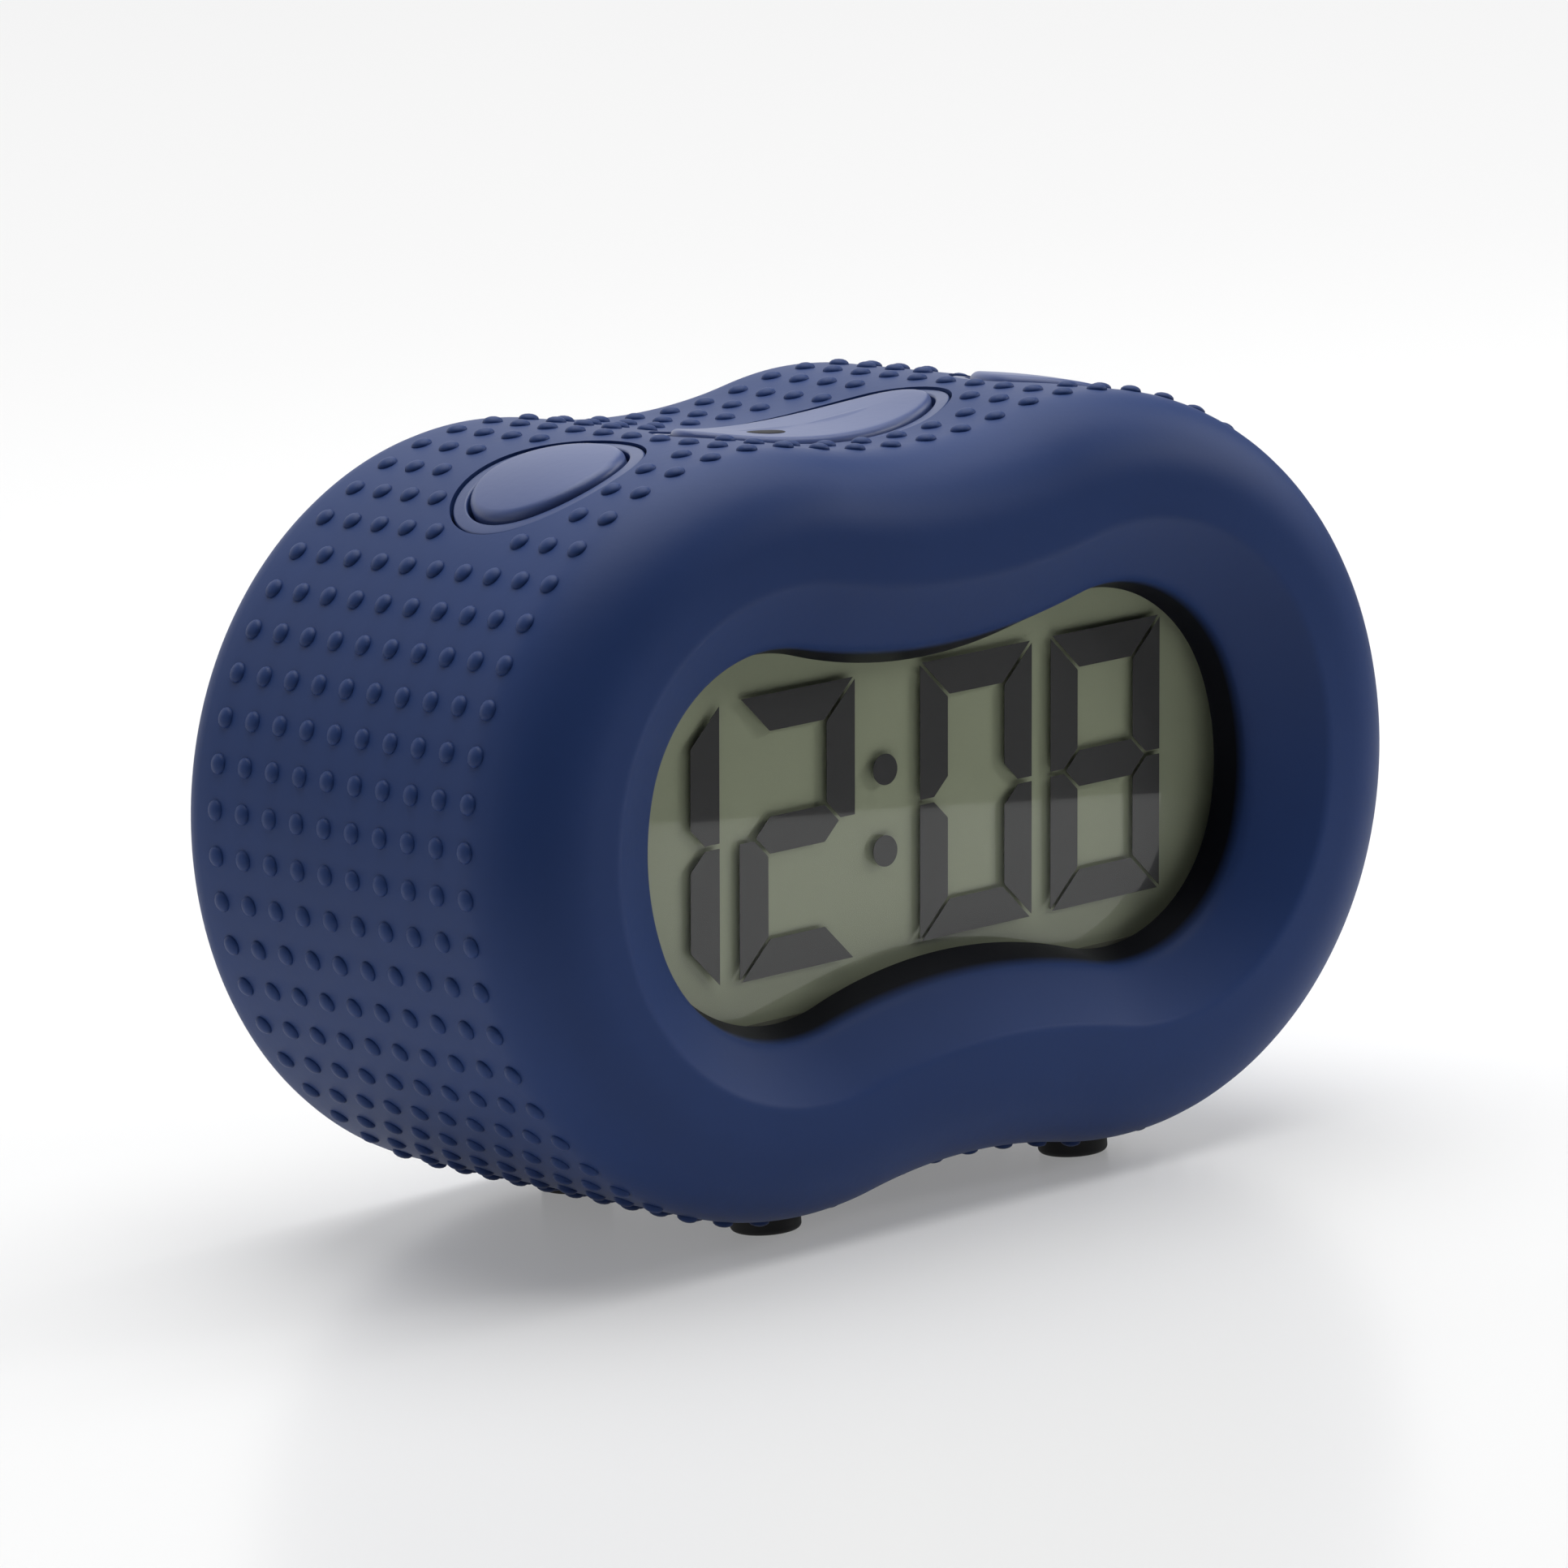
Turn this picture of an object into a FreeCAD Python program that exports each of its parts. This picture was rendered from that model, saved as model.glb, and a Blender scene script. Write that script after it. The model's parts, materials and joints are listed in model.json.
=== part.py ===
"""Standing digital alarm clock in a waisted soft sleeve, as separate pieces.

Frame: +X to the reader's right, +Y to the back, +Z up, in millimetres. The origin is on the
surface that the clock stands on, under the middle of its bounding box.
Inside the functions, a depth is measured back from the front crest, and heights from the
clock's centre.
"""
import FreeCAD, Part
import math
import os
import Sketcher
from FreeCAD import Placement, Rotation, Vector

doc = FreeCAD.newDocument("alarm_clock")

# Driving sizes, in millimetres
SIZES = {
    # outline of the body, seen from the front: two side arcs, four shoulders, two waist arcs
    "side_arc_radius": 39.2,
    "side_arc_centre": 18.3,
    "shoulder_step": 2.5,
    "shoulder_rise": 0.77,
    "waist_radius": 62.8,
    "overall_depth": 54.6,
    # soft sleeve and its front bezel
    "front_round": 8.6,
    "rear_round": 3.9,
    "crease_inset": 12.3,
    "crease_round": 0.8,
    "lip_inset": 18.4,
    "lip_depth": 4.3,
    "window_inset": 19.8,
    "sleeve_wall": 2.0,
    "rear_opening_inset": 6.0,
    # hard housing inside the sleeve
    "housing_wall": 2.0,
    "rear_cover_depth": 8.6,
    "cover_lip": 1.6,
    "cover_lip_wall": 1.0,
    "fit_gap": 0.15,
    # display, from the front to the back
    "lens_depth": 8.3,
    "lens_thick": 0.9,
    "lens_edge_gap": 0.2,
    "lens_gap": 0.3,
    "lcd_glass_thick": 0.6,
    "segment_thick": 0.1,
    "glass_overlap_across": 0.4,
    "glass_overlap_up": 0.95,
    "contact_ledge": 2.6,
    "seal_width": 1.0,
    "backlight_thick": 2.5,
    "frame_wall": 1.5,
    "zebra_thick": 1.8,
    # figures on the display
    "digit_height": 27.4,
    "digit_width": 14.6,
    "digit_pitch": 17.1,
    "stroke": 3.6,
    "segment_gap": 0.5,
    "digit_slant": 4.4,
    "digits_drop": 0.4,
    "figures_centre": 0.9,
    "colon_room": 5.9,
    "colon_offset": 0.3,
    "colon_spread": 4.0,
    "colon_radius": 1.55,
    # main board
    "strip_length": 8.2,
    "board_thick": 1.6,
    "board_margin": 0.5,
    "ear_gap": 3.5,
    "ear_height": 22.0,
    "chip_radius": 5.0,
    "chip_rise": 1.4,
    "chip_offset": 12.0,
    "crystal_radius": 1.0,
    "crystal_length": 6.0,
    "ear_screw_inset": 3.0,
    "board_screw_z": 7.0,
    # keys on top
    "key_depth": 24.5,
    "key_spread": 32.3,
    "key_radius": 7.8,
    "centre_key_half_length": 15.5,
    "key_rise": 0.7,
    "key_edge_round": 0.8,
    "key_travel": 0.9,
    "key_gap": 0.4,
    "key_clearance": 0.3,
    "key_flange": 1.1,
    "flange_drop": 3.1,
    "centre_flange_drop": 1.9,
    "collar_width": 1.5,
    "collar_rise": 0.5,
    "collar_round": 0.4,
    "sleeve_hole_gap": 0.2,
    "plunger_radius": 1.75,
    "plunger_length": 1.2,
    "sensor_radius": 1.7,
    "sensor_offset": 6.5,
    "sensor_forward": 2.2,
    # small switches under the keys
    "switch_width": 6.0,
    "switch_body": 3.5,
    "switch_button": 0.5,
    "switch_clearance": 0.1,
    "key_board_width": 20.0,
    "key_board_front": 3.9,
    "key_board_back": 15.0,
    "key_boss_spread": 7.0,
    "key_boss_back": 11.0,
    "boss_radius": 2.5,
    "screw_radius": 1.0,
    "screw_head_radius": 1.9,
    "screw_head": 1.2,
    "screw_length": 7.0,
    # closing screws at the back
    "case_screw_inset": 9.5,
    "case_screw_z": 14.0,
    "case_screw_length": 14.0,
    "case_boss_radius": 2.8,
    "case_screw_radius": 1.3,
    "case_head_radius": 2.4,
    "case_head": 1.5,
    # battery bay and its door
    "cell_radius": 5.25,
    "cell_length": 43.3,
    "nub_radius": 1.9,
    "nub_length": 1.2,
    "leaf_rise": 2.6,
    "bay_centre_drop": 11.5,
    "bay_side_room": 0.6,
    "bay_wall": 1.5,
    "bay_clearance": 0.3,
    "door_thick": 1.5,
    "door_ledge": 1.3,
    "door_gap": 0.3,
    "latch_half_width": 6.0,
    "latch_length": 6.0,
    "dip_radius": 6.0,
    "dip_depth": 1.0,
    "contact_thick": 0.4,
    "leaf_radius": 3.6,
    "leaf_tip_radius": 1.6,
    # keys and switch at the back
    "set_key_radius": 3.2,
    "set_key_gap": 0.35,
    "set_key_rise": 1.3,
    "set_key_travel": 0.6,
    "set_key_flange": 1.0,
    "set_key_round": 0.5,
    "set_key_pitch": 12.0,
    "set_row_height": 13.0,
    "set_row_start": -27.0,
    "alarm_knob_half_length": 2.4,
    "alarm_knob_half_height": 1.6,
    "alarm_travel": 5.0,
    "slide_room": 0.8,
    "leg_half": 0.8,
    "leg_reach": 1.6,
    "rear_board_setback": 7.6,
    "rear_board_height": 12.0,
    # sounder
    "buzzer_side_room": 2.5,
    "buzzer_drop": 4.0,
    "buzzer_radius": 7.0,
    "buzzer_thick": 4.0,
    "buzzer_ring": 1.2,
    "sound_hole_radius": 0.8,
    "sound_hole_pitch": 3.4,
    # feet
    "foot_radius": 3.5,
    "foot_x": 20.1,
    "foot_rise": 2.13,
    "foot_setback": 13.3,
    "rear_foot_setback": 11.6,
    "foot_round": 0.5,
}

# Sizes worked out from the driving ones
WORKED = {
    "shoulder_radius": "dims.side_arc_radius - dims.shoulder_step",
    "centre_height": "worked.shoulder_radius + dims.shoulder_rise + dims.foot_rise",
    "shoulder_x": "dims.side_arc_centre + sqrt(dims.shoulder_step^2 - dims.shoulder_rise^2)",
    "waist_height": "dims.shoulder_rise - dims.waist_radius"
                    " + sqrt((dims.waist_radius + worked.shoulder_radius)^2 - worked.shoulder_x^2)",
    "dish_slope": "dims.lip_depth / (dims.lip_inset - dims.crease_inset)",
    "dish_turn": "(sqrt(1 + worked.dish_slope^2) - 1) / worked.dish_slope",
    "housing_level": "dims.sleeve_wall",
    "cavity_level": "dims.sleeve_wall + dims.housing_wall",
    "housing_crease": "dims.crease_inset - worked.housing_level * worked.dish_turn",
    "cavity_crease": "dims.crease_inset - worked.cavity_level * worked.dish_turn",
    "housing_window": "dims.lip_inset - worked.housing_level",
    "cavity_window": "dims.lip_inset - worked.cavity_level",
    "housing_lip": "worked.housing_level"
                   " + (worked.housing_window - worked.housing_crease) * worked.dish_slope",
    "cavity_lip": "worked.cavity_level"
                  " + (worked.cavity_window - worked.cavity_crease) * worked.dish_slope",
    "tube_end": "dims.lens_depth + dims.lens_thick + dims.lens_gap",
    "segment_front": "worked.tube_end + dims.lcd_glass_thick",
    "segment_back": "worked.segment_front + dims.segment_thick",
    "board_depth": "worked.segment_front + dims.strip_length",
    "lcd_width": "2 * (dims.side_arc_centre + dims.side_arc_radius - worked.housing_window"
                 " + dims.glass_overlap_across)",
    "lcd_height": "2 * (worked.shoulder_radius + dims.shoulder_rise - worked.housing_window"
                  " + dims.glass_overlap_up)",
    "board_width": "worked.lcd_width + 2 * dims.frame_wall - 4 * dims.board_margin",
    "board_height": "worked.lcd_height + 2 * dims.frame_wall + 2 * dims.board_margin",
    "ear_span": "2 * (dims.side_arc_centre + dims.side_arc_radius - worked.cavity_level"
                " - dims.ear_gap)",
    "board_screw_x": "worked.ear_span / 2 - dims.ear_screw_inset",
    "case_screw_x": "dims.side_arc_centre + dims.side_arc_radius - dims.case_screw_inset",
    "backlight_front": "worked.segment_back + dims.lcd_glass_thick",
    "rear_plane": "dims.overall_depth - worked.housing_level",
    "rear_inside": "dims.overall_depth - worked.cavity_level",
    "split_depth": "worked.rear_plane - dims.rear_cover_depth",
    "key_sin": "(dims.key_spread - worked.shoulder_x) / worked.shoulder_radius",
    "key_cos": "sqrt(1 - worked.key_sin^2)",
    "key_tilt": "asin(worked.key_sin) / 1 deg",
    "side_flange": "worked.shoulder_radius - worked.cavity_level - dims.flange_drop",
    "centre_flange": "worked.waist_height - worked.cavity_level - dims.centre_flange_drop",
    "collar_outside": "dims.key_gap + dims.collar_width",
    "sleeve_hole": "dims.key_gap + dims.collar_width + dims.sleeve_hole_gap",
    "switch_drop": "dims.plunger_length + dims.key_travel + dims.switch_clearance",
    "flange_level": "worked.cavity_level + dims.key_clearance",
    "board_drop": "worked.switch_drop + dims.switch_button + dims.switch_body",
    "lens_inset": "worked.housing_window + dims.lens_edge_gap",
    "lip_depth_start": "worked.split_depth - dims.cover_lip",
    "lip_level": "worked.cavity_level + dims.fit_gap",
    "lip_bore_level": "worked.lip_level + dims.cover_lip_wall",
    "door_inside": "worked.rear_plane - dims.door_thick",
    "door_seat": "worked.door_inside - dims.door_gap",
    "cell_depth": "worked.door_inside - dims.door_gap - dims.cell_radius - dims.bay_clearance",
    "bay_floor": "worked.cell_depth - dims.cell_radius - dims.bay_clearance",
    "cell_spread": "dims.cell_radius + dims.bay_clearance / 2",
    "bay_half_width": "(dims.cell_length + dims.nub_length + dims.leaf_rise) / 2"
                      " + dims.contact_thick",
    "bay_half_height": "worked.cell_spread + dims.cell_radius + dims.bay_side_room",
    "buzzer_x": "worked.bay_half_width + dims.bay_wall + dims.buzzer_side_room"
                " + dims.buzzer_ring + dims.buzzer_radius",
    "rear_board_depth": "worked.rear_inside - dims.rear_board_setback",
    "rear_foot_depth": "dims.overall_depth - dims.rear_foot_setback",
    "set_flange_back": "worked.rear_inside - dims.key_clearance",
    "set_plunger_end": "worked.rear_board_depth + dims.switch_body + dims.switch_button"
                       " + dims.switch_clearance + dims.set_key_travel",
    "slot_half_length": "dims.alarm_knob_half_length + dims.alarm_travel / 2"
                        " + dims.set_key_gap",
    "slide_half_length": "worked.slot_half_length + dims.alarm_travel / 2 + dims.set_key_flange",
    "alarm_slot_x": "dims.set_row_start + 2 * dims.set_key_pitch + dims.set_key_radius"
                    " + dims.set_key_flange + dims.slide_room + worked.slide_half_length"
                    " + dims.alarm_travel / 2",
    "leg_end": "worked.rear_board_depth + dims.switch_body - dims.leg_reach",
    "channel_half": "dims.leg_half + dims.alarm_travel / 2 + dims.key_clearance",
    "slide_switch_half": "worked.channel_half + dims.frame_wall",
    "rear_boss_left": "dims.set_row_start - dims.set_key_radius - dims.set_key_flange"
                      " - dims.key_clearance - dims.boss_radius",
    "rear_boss_right": "worked.alarm_slot_x + dims.alarm_travel / 2 + worked.slide_half_length"
                       " + dims.key_clearance + dims.boss_radius",
    "foot_top": "worked.shoulder_radius + dims.shoulder_rise - dims.sleeve_wall",
}

ORIGIN_DEPTH = "(-dims.overall_depth / 2)"


def add_sheet(name, rows):
    sheet = doc.addObject("Spreadsheet::Sheet", name)
    for row, (alias, text) in enumerate(rows.items(), 1):
        sheet.set(f"A{row}", alias)
        sheet.set(f"B{row}", text)
        sheet.setAlias(f"B{row}", alias)
    doc.recompute()
    return sheet


dims = add_sheet("dims", {alias: str(number) for alias, number in SIZES.items()})
worked = add_sheet("worked", {alias: "=" + formula for alias, formula in WORKED.items()})


def value(alias):
    """A named size as a number, from whichever sheet holds it."""
    sheet = dims if alias in SIZES else worked
    return float(sheet.get(alias))


def text_of(alias):
    """A named size as an expression."""
    return ("dims." if alias in SIZES else "worked.") + alias


def bind(item, **expressions):
    """Bind properties to expressions; a double underscore stands for a dot."""
    for name, expression in expressions.items():
        item.setExpression(name.replace("__", "."), expression)
    return item


def clock_place(item, across="0", depth="0", height="0"):
    """Put an object at a place given from the front crest and the clock's centre."""
    return bind(item, Placement__Base__x=across,
                Placement__Base__y=f"{ORIGIN_DEPTH} + ({depth})",
                Placement__Base__z=f"worked.centre_height + ({height})")


def plane_of(body, role):
    return next(plane for plane in body.Origin.OriginFeatures if plane.Role == role)


def add_sketch(body, name, depth):
    """A sketch that faces the front, at a depth behind the crest."""
    sketch = body.newObject("Sketcher::SketchObject", name)
    sketch.AttachmentSupport = (plane_of(body, "XZ_Plane"), [""])
    sketch.MapMode = "FlatFace"
    sketch.setExpression("AttachmentOffset.Base.z", f"-({depth})")
    return sketch


def outline_arcs(inset):
    """The waisted outline as eight tangent arcs, drawn inwards by an inset."""
    side = value("side_arc_radius")
    shoulder = value("shoulder_radius")
    rise = value("shoulder_rise")
    shoulder_x = value("shoulder_x")
    waist = value("waist_radius")
    waist_centre = value("waist_height") + waist
    start = math.asin(rise / value("shoulder_step"))
    finish = math.atan2(waist_centre - rise, -shoulder_x)
    lean = math.atan2(shoulder_x, waist_centre - rise)
    quarter = math.pi / 2
    half = math.pi
    across = value("side_arc_centre")
    rows = (
        (across, 0, side, -start, start),
        (shoulder_x, rise, shoulder, start, finish),
        (0, waist_centre, waist + 2 * inset, -quarter - lean, -quarter + lean),
        (-shoulder_x, rise, shoulder, half - finish, half - start),
        (-across, 0, side, half - start, half + start),
        (-shoulder_x, -rise, shoulder, half + start, half + finish),
        (0, -waist_centre, waist + 2 * inset, quarter - lean, quarter + lean),
        (shoulder_x, -rise, shoulder, 2 * half - finish, 2 * half - start),
    )
    arcs = []
    for x, z, radius, first, last in rows:
        circle = Part.Circle(Vector(x, z, 0), Vector(0, 0, 1), radius - inset)
        arcs.append(Part.ArcOfCircle(circle, first, last))
    return arcs


# The outline's arcs in the order of outline_arcs, and the points of an arc
RIGHT_SIDE = 0
LEFT_SIDE = 4
SHOULDERS_ABOVE = (1, 3)
SHOULDERS_BELOW = (5, 7)
WAISTS = (2, 6)
ENDS = ("whole", "start", "end", "centre")
START = ENDS.index("start")
END = ENDS.index("end")
CENTRE = ENDS.index("centre")
X_AXIS = -1
ORIGIN = (X_AXIS, START)


def draw_outline(sketch, inset_alias, sign=1):
    """Draw the outline in a sketch, inset by a named size, or outset where sign is -1."""
    inset = sign * value(inset_alias) if inset_alias else 0
    inset_text = f"{sign} * {text_of(inset_alias)}" if inset_alias else "0"
    for arc in outline_arcs(inset):
        sketch.addGeometry(arc, False)
    arcs = range(sketch.GeometryCount)
    for first in arcs:
        second = (first + 1) % len(arcs)
        leaves = START if first in WAISTS else END
        enters = END if second in WAISTS else START
        sketch.addConstraint(Sketcher.Constraint("Tangent", first, leaves, second, enters))
    radii = {arc: "shoulder_radius" for arc in SHOULDERS_ABOVE + SHOULDERS_BELOW}
    radii.update({arc: "side_arc_radius" for arc in (RIGHT_SIDE, LEFT_SIDE)})
    radii.update({arc: "waist_radius" for arc in WAISTS})
    for index, alias in sorted(radii.items()):
        turn = "+" if index in WAISTS else "-"
        size = value(alias) + inset if index in WAISTS else value(alias) - inset
        number = sketch.addConstraint(Sketcher.Constraint("Radius", index, size))
        sketch.setExpression(f"Constraints[{number}]", f"{text_of(alias)} {turn} {inset_text}")
    for index, ends in ((RIGHT_SIDE, (*ORIGIN, RIGHT_SIDE, CENTRE)),
                        (LEFT_SIDE, (LEFT_SIDE, CENTRE, *ORIGIN))):
        sketch.addConstraint(Sketcher.Constraint("PointOnObject", index, CENTRE, X_AXIS))
        distance = Sketcher.Constraint("DistanceX", *ends, value("side_arc_centre"))
        number = sketch.addConstraint(distance)
        sketch.setExpression(f"Constraints[{number}]", "dims.side_arc_centre")
    for index in SHOULDERS_ABOVE + SHOULDERS_BELOW:
        above = index in SHOULDERS_ABOVE
        ends = (*ORIGIN, index, CENTRE) if above else (index, CENTRE, *ORIGIN)
        distance = Sketcher.Constraint("DistanceY", *ends, value("shoulder_rise"))
        number = sketch.addConstraint(distance)
        sketch.setExpression(f"Constraints[{number}]", "dims.shoulder_rise")
    return sketch


def add_body(name):
    return clock_place(doc.addObject("PartDesign::Body", name))


def outline_prism(name, inset_alias, front, length, sign=1):
    """A body of the waisted outline, from a depth at the front, of a given length."""
    body = add_body(name)
    sketch = draw_outline(add_sketch(body, name + "_outline", front), inset_alias, sign)
    pad = body.newObject("PartDesign::Pad", name + "_pad")
    pad.Profile = sketch
    pad.Reversed = True
    pad.setExpression("Length", length)
    doc.recompute()
    return body


EDGE_TOLERANCE = 0.001


def edges_at_depth(shape, depth):
    """Names of the edges that lie wholly at one depth."""
    names = []
    for number, edge in enumerate(shape.Edges, 1):
        bounds = edge.BoundBox
        if abs(bounds.YMin - depth) < EDGE_TOLERANCE and abs(bounds.YMax - depth) < EDGE_TOLERANCE:
            names.append(f"Edge{number}")
    return names


def round_edges(body, name, depth, radius):
    base = body.Tip
    fillet = body.newObject("PartDesign::Fillet", name)
    fillet.Base = (base, edges_at_depth(base.Shape, depth))
    fillet.setExpression("Radius", radius)
    doc.recompute()
    return fillet


def cut_loft(body, name, rows):
    """Cut a tapering hole through outlines given as (inset alias, depth expression)."""
    sketches = []
    for number, (inset_alias, depth) in enumerate(rows):
        sketch = add_sketch(body, f"{name}_{number}", depth)
        sketches.append(draw_outline(sketch, inset_alias))
    doc.recompute()
    loft = body.newObject("PartDesign::SubtractiveLoft", name)
    loft.Profile = sketches[0]
    loft.Sections = sketches[1:]
    loft.Ruled = True
    doc.recompute()
    return loft


def cut_outline(body, name, inset_alias, depth, length):
    """Cut a straight hole of the outline's shape, going back from a depth."""
    sketch = draw_outline(add_sketch(body, name + "_outline", depth), inset_alias)
    doc.recompute()
    pocket = body.newObject("PartDesign::Pocket", name)
    pocket.Profile = sketch
    pocket.setExpression("Length", length)
    before = body.Shape.Volume
    doc.recompute()
    if body.Shape.Volume > before - 1:
        raise ValueError(f"{name} cuts nothing")
    return pocket


def box(name, across, depth, height, width, length, tall):
    """A block by its low corner and its three sizes, all as expressions."""
    block = doc.addObject("Part::Box", name)
    bind(block, Length=width, Width=length, Height=tall)
    return clock_place(block, across, depth, height)


def rod(name, across, depth, height, radius, length, axis="y"):
    """A cylinder that starts at a point and runs along +X, +Y or +Z."""
    cylinder = doc.addObject("Part::Cylinder", name)
    turns = {"x": Rotation(Vector(0, 1, 0), 90), "y": Rotation(Vector(1, 0, 0), -90),
             "z": Rotation()}
    cylinder.Placement = Placement(Vector(), turns[axis])
    bind(cylinder, Radius=radius, Height=length)
    return clock_place(cylinder, across, depth, height)


def fuse(name, items):
    joined = doc.addObject("Part::MultiFuse", name)
    joined.Shapes = items
    joined.Refine = True
    return joined


def common(name, items):
    shared = doc.addObject("Part::MultiCommon", name)
    shared.Shapes = items
    return shared


def cut(name, base, tools):
    tool = tools[0] if len(tools) == 1 else fuse(name + "_tools", tools)
    result = doc.addObject("Part::Cut", name)
    result.Base = base
    result.Tool = tool
    return result


def group(name, items):
    """Several separate solids as one sub-part."""
    together = doc.addObject("Part::Compound", name)
    together.Links = items
    return together


nodes = []


def node(item, label):
    """Keep an object as a sub-part of the clock, under its own name."""
    item.Label = label
    nodes.append(item)
    return item


# The sleeve's outer form, with the dished bezel round the window
outer_form = outline_prism("outer_form", None, "0", "dims.overall_depth")
round_edges(outer_form, "front_edge", 0, "dims.front_round")
round_edges(outer_form, "rear_edge", value("overall_depth"), "dims.rear_round")
cut_loft(outer_form, "dish", (("crease_inset", "0"), ("lip_inset", "dims.lip_depth")))
round_edges(outer_form, "crease_edge", 0, "dims.crease_round")
cut_loft(outer_form, "window", (("lip_inset", "dims.lip_depth"),
                                ("window_inset", "dims.lens_depth")))
cut_outline(outer_form, "lens_room", "housing_window", "dims.lens_depth", "worked.board_depth")
cut_outline(outer_form, "rear_opening", "rear_opening_inset", "worked.rear_plane",
            "dims.sleeve_wall")


def inner_form(name, level, crease, window, lip, window_end):
    """The outer form drawn inwards by a wall, with the same dish and a straight window."""
    depth = text_of(level)
    form = outline_prism(name, level, depth, f"dims.overall_depth - 2 * {depth}")
    round_edges(form, name + "_front", value(level), f"dims.front_round - {depth}")
    if value("rear_round") > value(level):
        rear_depth = value("overall_depth") - value(level)
        round_edges(form, name + "_rear", rear_depth, f"dims.rear_round - {depth}")
    cut_loft(form, name + "_dish", ((crease, depth), (window, text_of(lip))))
    cut_outline(form, name + "_window", window, text_of(lip), f"{window_end} - {text_of(lip)}")
    return form


housing_form = inner_form("housing_form", "housing_level", "housing_crease", "housing_window",
                          "housing_lip", "worked.segment_front")
cavity_form = inner_form("cavity_form", "cavity_level", "cavity_crease", "cavity_window",
                         "cavity_lip", "worked.tube_end")

# Keys on top: the side ones stand square to the shoulders, the centre one upright
SIDES = {"left": -1, "centre": 0, "right": 1}
ABOVE = "worked.shoulder_radius"


def key_place(item, side, across="0", back="0", along="0"):
    """Place an object in a key's own frame: across the key, behind it and along its axis."""
    depth = f"dims.key_depth + ({back})"
    if side == 0:
        return clock_place(item, across, depth, along)
    turn = Rotation(Vector(0, side, 0), value("key_tilt"))
    item.Placement = Placement(Vector(), turn)
    bind(item, Placement__Rotation__Angle="worked.key_tilt * 1 deg")
    return clock_place(
        item,
        f"{side} * worked.shoulder_x + ({across}) * worked.key_cos"
        f" + ({along}) * {side} * worked.key_sin",
        depth,
        f"dims.shoulder_rise - ({across}) * {side} * worked.key_sin"
        f" + ({along}) * worked.key_cos")


def key_frame(side):
    """A key's own frame as numbers."""
    base = Vector(side * value("shoulder_x"), value("key_depth") - value("overall_depth") / 2,
                  value("centre_height") + abs(side) * value("shoulder_rise"))
    return Placement(base, Rotation(Vector(0, 1, 0), side * value("key_tilt")))


def key_block(name, side, corner, size):
    """A block in a key's own frame."""
    block = doc.addObject("Part::Box", name)
    bind(block, Length=size[0], Width=size[1], Height=size[2])
    return key_place(block, side, *corner)


def key_rod(name, side, across, back, along, radius, length):
    """A cylinder along a key's axis."""
    cylinder = doc.addObject("Part::Cylinder", name)
    bind(cylinder, Radius=radius, Height=length)
    return key_place(cylinder, side, across, back, along)


def key_post(name, side, grow, along, length):
    """An upright prism of a key's outline, grown all round, along the key's axis."""
    if side:
        return key_rod(name, side, "0", "0", along, f"dims.key_radius + {grow}", length)
    oval = doc.addObject("Part::Ellipse", name + "_oval")
    bind(oval, MajorRadius=f"dims.centre_key_half_length + {grow}",
         MinorRadius=f"dims.key_radius + {grow}")
    key_place(oval, side, along=along)
    post = doc.addObject("Part::Extrusion", name)
    post.Base = oval
    post.DirMode = "Custom"
    post.Dir = Vector(0, 0, 1)
    post.Solid = True
    return bind(post, LengthFwd=length)


RIM_TOLERANCE = 0.01
RIM_PROBES = (0.1, 0.5, 0.9)


def rim_edges(shape, side, grow):
    """Numbers of the edges at the top that follow a key's outline, grown all round."""
    frame = key_frame(side).inverse()
    width = (value("key_radius") if side else value("centre_key_half_length")) + grow
    length = value("key_radius") + grow
    floor = value("shoulder_radius") - value("cavity_level") if side else value("waist_height")
    numbers = []
    for number, edge in enumerate(shape.Edges, 1):
        span = edge.LastParameter - edge.FirstParameter
        points = [frame.multVec(edge.valueAt(edge.FirstParameter + part * span))
                  for part in RIM_PROBES]
        ring = [(point.x / width) ** 2 + (point.y / length) ** 2 - 1 for point in points]
        if min(point.z for point in points) > floor and max(map(abs, ring)) < RIM_TOLERANCE:
            numbers.append(number)
    return numbers


def round_rim(name, base, side, grows, radius_alias):
    """Round the top edges that follow a key's outline."""
    doc.recompute()
    radius = value(radius_alias)
    numbers = [number for grow in grows for number in rim_edges(base.Shape, side, grow)]
    rounded = doc.addObject("Part::Fillet", name)
    rounded.Base = base
    rounded.Edges = [(number, radius, radius) for number in numbers]
    return rounded


key_top_form = outline_prism("key_top_form", "key_rise", "0", "dims.overall_depth", -1)
collar_top_form = outline_prism("collar_top_form", "collar_rise", "0", "dims.overall_depth", -1)
flange_form = outline_prism("flange_form", "flange_level", "0", "dims.overall_depth")
ceiling_form = outline_prism("ceiling_form", "cavity_level", "0", "dims.overall_depth")


def key_floor(side):
    """The underside of a key's flange, along its axis."""
    return "worked.side_flange" if side else "worked.centre_flange"


def make_key(word, side):
    """A key: crowned cap, flange under the wall and a plunger over its switch."""
    floor = key_floor(side)
    stem = key_post(f"{word}_stem", side, "0", floor, ABOVE)
    cap = common(f"{word}_cap", [stem, key_top_form])
    rounded = round_rim(f"{word}_cap_round", cap, side, [0], "key_edge_round")
    wide = key_post(f"{word}_wide", side, "dims.key_flange", floor, ABOVE)
    skirt = common(f"{word}_skirt", [wide, flange_form])
    plunger = key_rod(f"{word}_plunger", side, "0", "0", f"{floor} - dims.plunger_length",
                      "dims.plunger_radius", "dims.plunger_length")
    return fuse(f"{word}_key_solid", [rounded, skirt, plunger])


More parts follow.
